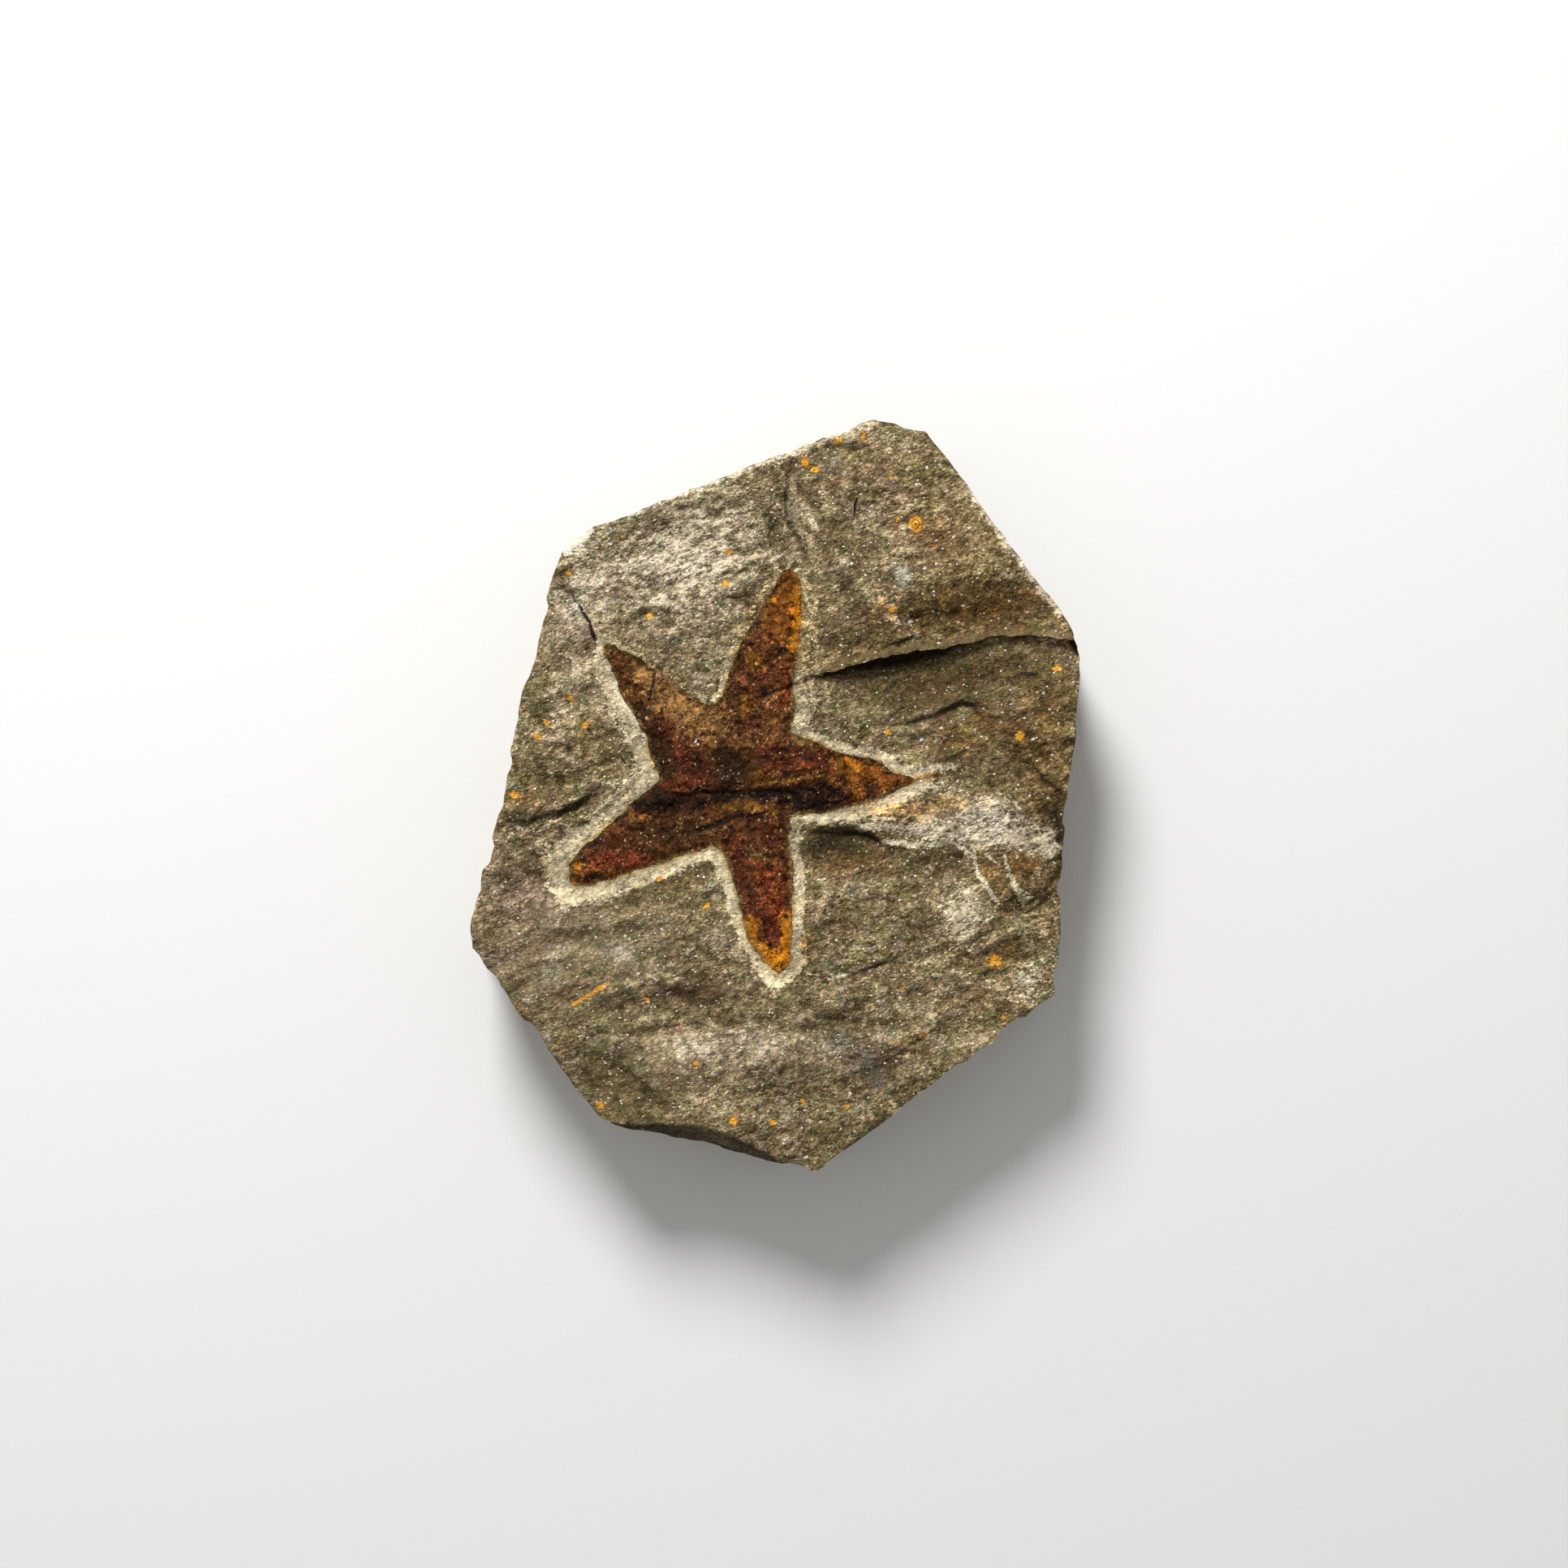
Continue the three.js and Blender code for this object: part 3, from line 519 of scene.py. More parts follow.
POWDER_SPOTS = [
    (19.8, -12.9, 2.6, 2.5, 20), (12.4, 18.9, 1.9, 0.75, -22), (13.6, 18.4, 0.9, 0.7, 0),
    (12.2, 19.9, 0.8, 0.4, -20), (13.3, 23.1, 0.8, 1, 20), (26.6, -19.6, 2, 1.6, 30),
    (14.2, -2.2, 1.2, 0.5, 10), (22, -1.6, 3.6, 1, -16), (17, 0.8, 2, 0.5, -12), (27.4, -8.3, 0.9, 0.7, 20),
]
VEINS = [  # narrow and cream
    ([(8.2, -2.7, 0.3), (10.4, -2.6, 1), (12.6, -2.5, 0.3)], 0.32),
    ([(10.8, -5.1, 0.5), (11.6, -5, 1), (15.6, -5.3, 1), (18.8, -5, 0.8), (20.9, -6.6, 0.7),
      (21.3, -8.4, 0.7), (22.4, -10, 1), (23.5, -11.6, 0.6)], 0.4),
    ([(24.1, -6.3, 0.5), (24.6, -8.4, 0.9), (25.5, -10.2, 1.5), (26.3, -11.2, 1.7), (27, -10.9, 0.8)],
      0.38),
    ([(22.2, -6.2, 0.4), (22.9, -6.9, 1), (23.2, -7.4, 0.4)], 0.3),
    ([(24.4, 0.2, 0.3), (25.4, -1, 1), (26.3, -2.1, 0.3)], 0.2),
    ([(28.8, -5.4, 0.5), (29.1, -6.5, 1)], 0.2),
    ([(-18.2, 14, 0.7), (-16.2, 9.6, 1), (-13.9, 6, 0.7)], 0.6),
]
# A pale fresh chip at the top left corner, made whiter by a painted highlight where its bevel faces the
# light.
WHITE_CHIP_AND_HIGHLIGHT = [  # the white chip at the top left corner
    ([(-22.4, 25.6, 0.4), (-21.3, 26.9, 1), (-19.8, 28.1, 0.5)], 0.85),
]
RUST_STROKE = [
    ([(-21.6, -22.2, 0.7), (-20.3, -21.5, 1), (-19.4, -20.9, 0.5), (-18.6, -20.4, 1.1), (-17.7, -19.9, 0.3)],
     0.28),
]
RUST_SPOTS = [
    (3, 35.3, 0.38, 0.62, 10), (4, 34.5, 0.5, 0.4, 0), (6.6, 37.5, 0.35, 0.45, 0), (9.2, 38, 0.3, 0.6, 5),
    (14.7, 28.7, 0.75, 0.97, 0), (12.8, 29.1, 0.38, 0.22, 30), (12.1, 33.5, 0.22, 0.22, 0),
    (12.2, 19.6, 0.6, 0.3, 20), (29.7, 13.4, 0.65, 0.3, 0), (25.8, 6.3, 0.5, 0.55, 0),
    (11.8, 6.6, 0.4, 0.3, 0), (-13.5, 19, 0.32, 0.45, 0), (-24.3, 7.7, 0.42, 0.3, 0),
    (-20.3, 7.4, 0.36, 0.42, 0), (-25.3, 6.2, 0.42, 0.3, 0), (-22.1, 23.6, 0.42, 0.3, 0),
    (-21.8, 10.2, 0.42, 0.3, 0), (-27.9, 0, 0.55, 0.36, 0), (-12.4, -8.9, 0.42, 0.26, 30),
    (-13.7, -21.7, 0.42, 0.36, 0), (-7.4, -11.7, 0.46, 0.3, 40), (-8.5, -28.4, 0.36, 0.32, 0),
    (-4.6, -34.5, 0.5, 0.5, 0), (2.7, -32.5, 0.36, 0.3, 0), (-18.8, -33, 0.5, 0.36, 0),
    (-0.4, -34.7, 0.42, 0.3, 0), (23.2, -17.6, 0.78, 0.72, 0), (15.4, -25.5, 0.42, 0.26, 0),
    (13.3, -20.6, 0.3, 0.26, 0), (24, -23.6, 0.3, 0.3, 0), (7.5, -33, 0.3, 0.3, 0),
    (-5.1, 25.7, 0.45, 0.26, 0), (-5.4, 22.4, 0.3, 0.42, 0), (-16.4, 27.4, 0.3, 0.22, 0),
]
RINGED_SPOT = RUST_SPOTS[4]
SMEARS = [  # smooth strokes of the tool in the scraped stone
    ([(-18.6, 14.6, 0.4), (-17.5, 12.2, 1), (-15.5, 8.6, 1), (-14.2, 6.2, 0.5)], 0.55),
    ([(-5.9, -7.4, 0.5), (-5.1, -10.6, 1), (-4.4, -13.6, 1), (-2.9, -16.8, 0.6)], 0.7),
]
# What clouds the stone, as ovals: x, y, radius across, radius along, turn, strength.
CLOUDS = {
    "stain": [  # iron-brown
        (16.2, 1.9, 1.7, 0.5, 10, 0.9), (11.6, -2.1, 1.6, 0.7, 20, 1), (15, -1.4, 6, 1.1, 6, 1),
        (26, -7.4, 2.6, 1.8, -30, 0.7), (22.3, -8, 0.9, 2.6, 28, 0.5), (25.4, -10.6, 1.4, 1.4, 0, 0.5),
        (16.6, 27.6, 1.6, 2, 0, 0.6), (3.1, -15.6, 0.8, 2, -12, 0.8), (12.2, 19.3, 2.4, 0.8, -25, 0.8),
        (7.4, -7.4, 4, 1.8, 10, 0.6), (21, 6.6, 6, 3, 0, 0.6), (28, 10, 3, 4, 0, 0.4),
        (22, 20.4, 7, 2, -6, 0.5), (17, 12, 8, 2.6, 8, 0.35), (13.6, -26, 2, 0.8, 20, 0.5),
        (24.6, -17, 1.8, 1.6, 0, 0.5), (-20.4, 7.2, 1.6, 2.4, 0, 0.4), (-26.6, -0.2, 2.4, 1.2, 20, 0.5),
        (-10.6, -9.4, 3, 0.7, 20, 0.3), (8.6, 36.6, 3, 1.4, -10, 0.4), (-21, -20.6, 2.6, 1, 30, 0.3),
        (3.4, 13, 1, 3, 0, 0.3),
    ],
    "dulled": [  # where the scraping left less of its paleness
        (3.6, 17.5, 1.7, 6.5, 0, 0.8), (-2.8, 18.5, 1.2, 6, -25, 0.7), (-11, 12.4, 5, 1, -35, 0.75),
        (1.4, 23.9, 2.6, 2, 0, 1), (1.8, -4, 1, 2.4, 0, 0.35), (-17.6, -1.6, 2, 0.8, 40, 0.25),
        (-6.8, 10.2, 1.4, 1.6, 0, 0.8), (-19, 8.6, 1.2, 4, -25, 0.25), (-15, -9.6, 4, 0.7, 16, 0.25),
        (3.2, 9, 1.2, 3.4, 0, 0.35),
    ],
    "greyed": [
        (-10, 25, 11, 7, 20, 1), (-21, 22, 4, 6, 0, 0.8), (-22, -16, 8, 6, 0, 0.4), (0, -27, 12, 4, 5, 0.5),
        (22, -4, 6, 2, -10, 0.6), (-21, 12, 4, 6, 0, 0.3),
    ],
    "violet": [
        (-27, -11, 4.5, 4.5, 0, 1), (-8.2, -21, 4, 1.4, 5, 1), (8.8, -27.2, 2.2, 1.4, 20, 1),
        (16, 27, 3, 3, 0, 0.6), (-6, -27, 6, 2, 0, 0.7), (24, -4, 5, 2.5, -10, 0.6),
        (-20, 17, 3, 3, 0, 0.5), (-12.3, 29, 2, 1, 0, 1),
    ],
    # Painted light and shade on the flakes of the split face, as they catch or miss the light.
    "painted_flake_light": [
        (-10, 24.5, 10, 7, 20, 1), (-25, -2.8, 5, 1.7, 10, 1.6), (-21, 22, 3, 5, 0, 0.5),
        (22, -4, 6, 2, -10, 0.3),
    ],
    "slate": [
        (13.3, 23.1, 0.9, 1.1, 20, 1.2), (-16.6, -16.7, 2, 1.3, -20, 0.35), (10.4, -29.4, 0.9, 2, 32, 1.2),
        (22, -2.4, 5, 1.4, -14, 0.6), (-21.4, 19.6, 0.7, 0.9, 0, 0.6), (6.4, -26.4, 1.4, 0.9, 0, 0.7),
    ],
}
GOLDEN = [
    (20, 25, 9, 6, -45, 0.6), (20, 19, 9, 3, 2, 1), (28.5, 4, 3.5, 9, 0, 0.9), (3.8, 18, 1.6, 6, 0, 0.5),
    (25, -8, 5, 3, 0, 0.8), (8, 15, 5, 1.4, 12, 0.8), (-13, 13, 5, 0.8, -35, 0.9),
    (-2.6, 18.6, 0.9, 5, -25, 0.9), (22, -20, 7, 4, 0, 0.3),
]
# Lighter ovals, as x, y, radius across, radius along, turn, strength: lighter tone of the stone, and painted
# light where the face turns toward the light, as on the split facet at the top left.
LIGHTER_TONE_AND_PAINTED_LIGHT = [
    (-9, 26, 9, 6, 20, 0.5), (-7, -26.6, 8, 2.2, 5, 0.55), (-16.6, -16.7, 2, 1.3, -20, 0.55),
    (13.3, 23.1, 0.9, 1.1, 20, 0.7), (-12, -27.6, 2, 1.6, 0, 0.3), (3.2, 28.1, 1, 3.4, 6, 0.35),
    (-22.6, 19.6, 1.2, 2, 0, 0.55), (26, -20, 3, 2, 0, 0.25), (9, 38, 4, 1.2, -15, 0.3),
    (6, -14, 6, 3, 0, 0.1), (10.6, 20.4, 2.4, 0.8, -42, 0.35), (-21, 26.6, 2, 1.5, 40, 0.55),
    (16, 32, 3, 2, 0, 0.15), (-20.4, 12.6, 5, 5, 0, 0.3), (-4.6, -14, 0.9, 5, 20, 0.3),
    (-20.6, -11, 3.4, 1.2, 8, 0.3), (-22, -16, 7, 5, 0, 0.15), (22, 26, 4, 3, -50, 0.25),
    (8.5, -2.7, 2, 0.5, -4, 0.3), (-21.2, 26.9, 1.6, 0.9, 45, 0.9), (19.8, -12.9, 2.6, 2.2, 20, 0.74),
    (-20.4, 22, 3.4, 4.4, 0, 0.52), (15, -25, 7, 4, 20, 0.16), (22, -3, 5, 1.4, -12, 0.24),
    (-19.5, 3, 3, 4, 0, 0.15), (16, -1, 5, 1.4, 6, 0.25), (-6.4, -33, 5, 1.2, -8, 0.15),
]
# Darker ovals, the same way: darker tone of the stone, and painted shade where the face turns away from the
# light, as below the main ledge and in the pocket below the right arm.
DARKER_TONE_AND_PAINTED_SHADE = [
    (18, 12.5, 10, 3.4, 8, 0.68), (8, 17, 4, 2, 20, 0.45), (19, 19.6, 9, 2.4, 2, 0.68),
    (26, 19.4, 4.5, 2.6, -5, 0.55), (-8.2, -21, 3.6, 1.2, 5, 0.45), (-14.4, 4, 1.6, 3.6, 20, 0.3),
    (-22.8, 23.4, 0.8, 1.1, 0, 0.7), (-17, -10.8, 5, 1.2, 10, 0.3), (-17, -30.4, 5, 3.2, -30, 0.5),
    (6.8, -5.4, 4.4, 1.7, -5, 1.26), (9.6, -4.8, 1.4, 0.8, -30, 0.9), (16, -7.2, 5, 1.5, 0, 0.35),
    (-25, -2.4, 5, 1, 10, 0.55), (-22, 2.5, 4, 2, 20, 0.35), (29.5, -2, 1.6, 5, 0, 0.65),
    (-12.3, 29.1, 1.6, 0.7, -15, 0.8), (-0.4, 28.8, 1.2, 1.8, 10, 0.5), (24, 6, 7, 5, 0, 0.35),
    (-28, -8, 2, 4, 0, 0.2), (3.4, 31.8, 0.8, 2.4, -32, 0.35), (7.6, 22.6, 1, 3.4, -38, 0.25),
    (10.2, -29.7, 1.1, 2.2, 28, 0.45), (8.6, -27, 1.8, 1, 20, 0.3), (4, 10, 1, 5, 0, 0.3),
]
# Painted shade in small breaks at the slab's edge.
EDGE_BREAK_SHADE = [  # small dark breaks at the slab's edge
    (29.9, -4, 0.5, 1, 12, 0.9), (30.2, -6.6, 0.4, 0.7, 0, 0.8), (29.4, -2, 0.7, 0.4, 30, 0.5),
    (-24.6, -2.4, 1.6, 0.3, 18, 0.6), (-28.2, -2.2, 1, 0.4, -20, 0.6), (-21.6, -1.7, 1, 0.3, 35, 0.5),
]
CALM_AREAS = [  # where the grain shows less
    (-21, -17, 9, 7, 10, 0.42), (-16, -30, 6, 5, 0, 0.42), (13.3, 23.1, 0.9, 1.1, 20, 0.5),
    (18, 10, 9, 5, 8, 0.25), (-16.6, -16.7, 1.8, 1.1, -20, 0.4), (10.2, -29.7, 1.1, 2.2, 28, 0.7),
    (-8.2, -21, 4, 1.4, 5, 0.4), (0, -26, 10, 4, 5, 0.2), (7.2, -5.2, 4, 1.9, -6, 0.4),
    (22, -4, 7, 2, -10, 0.15),
]
OUTSIDE = -9.0  # what a field of marks says far from all of them


def spot_field(places, spots):
    """1 in the middle of a spot, 0 at its edge and less outside."""
    field = np.full(len(places), OUTSIDE)
    for x, y, across, along, turn in spots:
        spot = turned(places - (x, y, 0), turn)
        field = np.maximum(field, 1 - np.hypot(spot[:, 0] / across, spot[:, 1] / along))
    return field


def stroke_field(places, strokes):
    """1 in the middle of a stroke, 0 at its edge and less outside."""
    field = np.full(len(places), OUTSIDE)
    for line, half_width in strokes:
        out, opening = nearest(line, places)
        half_width = half_width * np.maximum(opening, 0.05) if len(line[0]) == 3 else half_width
        field = np.maximum(field, 1 - np.abs(out) / half_width)
    return field


def paint(mesh, name, values):
    mesh.attributes.new(name, "FLOAT", "POINT").data.foreach_set("value", values)


def paint_face(name, values, elsewhere=0.0):
    """Paints what lies on the split face, fading to the wall's own value a little below the rim."""
    paint(slab_mesh, name, elsewhere + (values - elsewhere) * edge_fade)


# How proud each place stands; the shader turns it into painted light on raised places and painted shade in
# hollows.
wall_proud = np.clip(0.8 * lumps(drawn_places, (2.2, 2.2, 1.2), 28) - 0.5 * (knapped - 0.6), -1, 1)
paint_face("proud", proud, wall_proud)
scrape_out, scrape_width = nearest(STAR_OUTLINE, drawn_places, closed=True)
scrape_width = scrape_width * (1 + 0.35 * lumps(drawn_places * (1, 1, 0), 2.4, 34))
paint_face("scraped", np.clip(1 + scrape_out / np.maximum(scrape_width, 0.1), -1, 1.5), -1)
paint_face("contact", np.clip(1 + scrape_out / np.clip(0.45 * scrape_width, 0.35, 0.9), 0, 1))
powder = np.maximum(stroke_field(drawn_places, POWDER_STROKES), spot_field(drawn_places, POWDER_SPOTS))
paint_face("powder", powder, -1)
rust = np.maximum(spot_field(drawn_places, RUST_SPOTS), stroke_field(drawn_places, RUST_STROKE))
paint_face("rust", rust, -1)
paint_face("ring", spot_field(drawn_places, [RINGED_SPOT]), -1)
for name, strokes in (("vein", VEINS), ("painted_crack_shade", CRACKS), ("white_chip_and_highlight", WHITE_CHIP_AND_HIGHLIGHT)):
    paint_face(name, stroke_field(drawn_places, strokes), -1)
for name, clouds in CLOUDS.items():
    paint_face(name, patches(drawn_places, *clouds))
paint_face("golden", patches(drawn_places, *GOLDEN), np.clip(lumps(by_layers, (9, 9, 3), 39), 0, 0.6))

# Painted shade: how dark it is in the shadow under the ledge, on the steep chip at the bottom edge, in the
# valley, in small breaks at the slab's edge and below the small steps.
# Painted shadow in the undercut below the main ledge.
ledge_shadow_out, ledge_shadow_width = nearest(LEDGE_SHADOW_LINE, drawn_places)
ledge_shadow_width = ledge_shadow_width * (1 + 0.3 * lumps(drawn_places, 1.7, 33)) + 0.12 * lumps(drawn_places, 0.6, 35)
ledge_shadow = 1 - smooth(0.6, 1.25, ledge_shadow_out / np.maximum(ledge_shadow_width, 0.05))
ledge_shadow *= smooth(0, 0.1 + 0.75 * lean, lip_out)  # none of it on the lip itself
scoop_out, scoop_drop = nearest(SCOOP_LIP, drawn_places)
scoop_shade = 0.75 * smooth(0, 1, scoop_drop) * smooth(0, 0.5, scoop_out)
north = drawn_places[:, 1]
valley_shade = 0.75 * soft_line(VALLEY, drawn_places, 0.3) * smooth(23.5, 25.5, north) * smooth(36, 32, north)
shade_wander = 0.35 * lumps(drawn_places, (1.4, 0.9, 1), 40)
shade_below_steps = 0.85 * np.clip(1.7 * stroke_field(drawn_places, SHADES) + shade_wander, 0, 1)
edge_break_shade = patches(drawn_places, *EDGE_BREAK_SHADE)
paint_face("painted_shade", np.max([ledge_shadow, scoop_shade, valley_shade, edge_break_shade, shade_below_steps], axis=0))

# How light the stone is, in doublings: its own tone, with painted light and shade where its slopes face
# toward or away from the light, a painted highlight along the main ledge's lip, painted shade in the furrows
# and painted light on the ribs; and how calm its grain.
on_ledge = smooth(0.3, 1, lip_drop)
painted_lip_highlight = 0.08 * np.exp(-((lip_out + 0.4) / 0.3) ** 2) * on_ledge
tone_and_painted_light = patches(drawn_places, *LIGHTER_TONE_AND_PAINTED_LIGHT) - patches(drawn_places, *DARKER_TONE_AND_PAINTED_SHADE) + painted_lip_highlight
bedding = 0.35 * lumps(by_layers, (16, 16, 0.9), 37) + 0.3 * lumps(by_layers, (5, 5, 1.6), 38)
paint_face("pallor", tone_and_painted_light - 1.1 * furrowed(drawn_places), bedding)
smear = 0.4 * np.clip(1.6 * stroke_field(drawn_places, SMEARS), 0, 1)
lip_calm = 0.7 * np.exp(-((lip_out + 0.35) / 0.4) ** 2) * on_ledge
paint_face("calm", np.max([smear, lip_calm, patches(drawn_places, *CALM_AREAS)], axis=0))


def node(tree, kind, inputs=None, **settings):
    """A shader node with its settings, and with values or links on its inputs."""
    made = tree.nodes.new(kind)
    for name, value in settings.items():
        setattr(made, name, value)
    for key, value in (inputs or {}).items():
        if isinstance(value, bpy.types.NodeSocket):
            tree.links.new(value, made.inputs[key])
        else:
            made.inputs[key].default_value = value
    return made


def colour(red, green, blue):
    """A paint-chart colour (0 to 255) as the shader's own linear numbers."""
    def linear(part):
        part /= 255
        return part / 12.92 if part <= 0.04045 else ((part + 0.055) / 1.055) ** 2.4
    return linear(red), linear(green), linear(blue), 1


def math_node(tree, operation, *values, clamp=False):
    inputs = dict(enumerate(values))
    return node(tree, "ShaderNodeMath", inputs, operation=operation, use_clamp=clamp).outputs[0]


def vector_node(tree, operation, *values):
    return node(tree, "ShaderNodeVectorMath", dict(enumerate(values)), operation=operation).outputs["Vector"]


def times(tree, one, other):
    return math_node(tree, "MULTIPLY", one, other)


def plus(tree, one, other):
    return math_node(tree, "ADD", one, other)


def rest_of(tree, share):
    """What the share leaves of 1."""
    return math_node(tree, "SUBTRACT", 1.0, share)


def doubled(tree, steps):
    return math_node(tree, "POWER", 2.0, steps)


def stepped(tree, value, low, high):
    """0 below low, 1 above high, and smooth between."""
    return node(tree, "ShaderNodeMapRange", {"Value": value, "From Min": low, "From Max": high},
                interpolation_type="SMOOTHSTEP").outputs["Result"]


def blended(tree, share, below, above, mode="MIX"):
    """The colour below with the share of the colour above; MULTIPLY tints it instead."""
    share_input, below_input, above_input = 0, 6, 7
    return node(tree, "ShaderNodeMix", {share_input: share, below_input: below, above_input: above},
                data_type="RGBA", blend_type=mode).outputs[2]


def lit(tree, hue, light):
    hue = hue[:3] if isinstance(hue, tuple) else hue
    return node(tree, "ShaderNodeVectorMath", {0: hue, "Scale": light}, operation="SCALE").outputs["Vector"]


def mark(tree, name):
    return node(tree, "ShaderNodeAttribute", attribute_name=name).outputs["Fac"]


def ragged_mark(tree, name, fringe, low, high):
    """A painted mark, from 0 outside to 1 inside, with an edge that wanders by the fringe."""
    return stepped(tree, plus(tree, mark(tree, name), fringe), low, high)


def cloudy(tree, place, size, detail=3, roughness=0.55):
    return node(tree, "ShaderNodeTexNoise", {
        "Vector": place, "Scale": 1 / size, "Detail": detail, "Roughness": roughness}).outputs["Fac"]


def tones(tree, *patterns):
    """Adds up patterns, each about its middle of 0.5 and times its strength."""
    total = 0.0
    for pattern, strength in patterns:
        total = math_node(tree, "MULTIPLY_ADD", math_node(tree, "SUBTRACT", pattern, 0.5), strength, total)
    return total


def drawn_out(tree, place, degrees, along, across):
    """The place, so that a pattern read there is longer in one direction of the face."""
    turn = (0, 0, math.radians(degrees))
    return node(tree, "ShaderNodeMapping", {"Vector": place, "Rotation": turn, "Scale": (along, across, 1)},
                vector_type="TEXTURE").outputs["Vector"]


# Grains of sand or mineral: each with its own tint and warmth and a rounded top, and here and there a
# painted highlight, as of mica glints, or a pit.
MIDDLE = (0.5, 0.5, 0.5)
grain_group = bpy.data.node_groups.new("mineral_grain", "ShaderNodeTree")
grain_group.interface.new_socket("Place", in_out="INPUT", socket_type="NodeSocketVector")
grain_group.interface.new_socket("Size", in_out="INPUT", socket_type="NodeSocketFloat").default_value = 0.3
for name in ("Tint", "Bead", "Tilt", "PaintedGlint", "Pit"):
    grain_group.interface.new_socket(name, in_out="OUTPUT", socket_type="NodeSocketFloat")
grain_group.interface.new_socket("Cast", in_out="OUTPUT", socket_type="NodeSocketColor")
place, size = node(grain_group, "NodeGroupInput").outputs[:2]
per_size = math_node(grain_group, "DIVIDE", 1.0, size)
wander = node(grain_group, "ShaderNodeTexNoise", {
    "Vector": place, "Scale": times(grain_group, per_size, 1.3), "Detail": 1.0})
wander = vector_node(grain_group, "SUBTRACT", wander.outputs["Color"], MIDDLE)
warped = vector_node(grain_group, "ADD", place, lit(grain_group, wander, times(grain_group, size, 0.9)))
coarse = node(grain_group, "ShaderNodeTexVoronoi", {"Vector": warped, "Scale": per_size}).outputs
finer = node(grain_group, "ShaderNodeTexVoronoi", {
    "Vector": warped, "Scale": times(grain_group, per_size, 1.75)}).outputs
coarse_tint = node(grain_group, "ShaderNodeSeparateColor", {"Color": coarse["Color"]}).outputs
finer_tint = node(grain_group, "ShaderNodeSeparateColor", {"Color": finer["Color"]}).outputs
tint = plus(grain_group, times(grain_group, coarse_tint[0], 0.45), times(grain_group, finer_tint[0], 0.55))
bead = math_node(grain_group, "SUBTRACT", 1.0, coarse["Distance"], clamp=True)
# Each grain's top leans its own way, and has its own cast of colour.
aside = vector_node(grain_group, "SUBTRACT", warped, coarse["Position"])
leaning_way = vector_node(grain_group, "SUBTRACT", coarse["Color"], MIDDLE)
tilt = node(grain_group, "ShaderNodeVectorMath", {0: aside, 1: leaning_way}, operation="DOT_PRODUCT")
cast = vector_node(grain_group, "MULTIPLY_ADD", finer["Color"], (0.36, 0.3, 0.46), (0.82, 0.85, 0.77))
# Painted highlights, as mica glints, on a few rare grains.
painted_glint = math_node(grain_group, "MAXIMUM", stepped(grain_group, finer_tint[1], 0.98, 0.996),
                  stepped(grain_group, coarse_tint[1], 0.997, 1.0))
pit = stepped(grain_group, finer_tint[1], 0.09, 0.04)
node(grain_group, "NodeGroupOutput", {
    "Tint": tint, "Bead": bead, "Tilt": tilt.outputs["Value"], "PaintedGlint": painted_glint, "Pit": pit, "Cast": cast})


def grains(tree, place, size):
    return node(tree, "ShaderNodeGroup", {"Place": place, "Size": size}, node_tree=grain_group).outputs


def new_material(name):
    """A bare material: its tree, its shader, and the place on the piece in millimetres."""
    made = bpy.data.materials.new(name)
    made.use_nodes = True
    tree = made.node_tree
    shader = tree.nodes["Principled BSDF"]
    coordinates = node(tree, "ShaderNodeTexCoord").outputs["Object"]
    place = node(tree, "ShaderNodeMapping", {"Vector": coordinates, "Scale": (1 / MM,) * 3})
    return made, tree, shader, place.outputs["Vector"]


SAND, OLIVE_SAND, PINK_SAND = colour(132, 114, 83), colour(124, 117, 79), colour(136, 113, 97)
PALE_BLOOM, GREY_SAND, GOLDEN_SAND = colour(150, 142, 124), colour(137, 126, 106), colour(131, 108, 67)
SLATE, LIGHTEST_SAND, PAINTED_MICA_GLINT = colour(132, 128, 121), colour(222, 213, 190), colour(246, 241, 226)
SCRAPED_SAND, SCRAPED_GOLDEN = colour(206, 191, 155), colour(178, 150, 98)
PEPPER, OLIVE_CONTACT = colour(104, 90, 60), colour(136, 112, 62)
POWDER, CREAM, CHIP_WHITE_AND_HIGHLIGHT = colour(200, 187, 160), colour(218, 207, 174), colour(230, 222, 200)
RUST_ORANGE, RUST_YELLOW = colour(196, 124, 32), colour(250, 190, 66)
RUST_EDGE, RUST_RING = colour(164, 100, 34), colour(112, 62, 22)
CRACK_SHADE_BLACK = colour(14, 10, 6)
WARM_SHADE, IRON_STAIN, PAINTED_SHADE_TINT = (1.03, 0.92, 0.66, 1), (0.97, 0.7, 0.4, 1), (0.13, 0.1, 0.065, 1)
BUMP_DEPTH = 0.2 * MM

matrix_stone, tree, shader, place = new_material("matrix_sandstone")
along_layers = drawn_out(tree, place, 17, 1.3, 0.85)
sand = grains(tree, along_layers, 0.27)
chips = grains(tree, along_layers, 0.8)
flakes = grains(tree, drawn_out(tree, place, 27, 1.9, 0.75), 0.6)
broad = cloudy(tree, along_layers, 4.5)
middling = cloudy(tree, along_layers, 1.2, 3, 0.6)
# How light each spot of the stone is: its grains and their clusters; painted light and shade on the grains'
# rounded tops, on its raised places, in its hollows and in its small pits; and its part of the face.
light = tones(tree, (broad, 2.2), (middling, 2.6), (chips["Tint"], 1.3), (chips["Bead"], 0.8),
              (sand["Tint"], 2.6), (flakes["Tint"], times(tree, mark(tree, "painted_flake_light"), 3.2)))
# Painted light on raised places and painted shade in hollows.
light = math_node(tree, "MULTIPLY_ADD", mark(tree, "proud"), 0.6, light)
light = math_node(tree, "MULTIPLY_ADD", sand["Pit"], -1.0, light)
light = times(tree, light, rest_of(tree, mark(tree, "calm")))
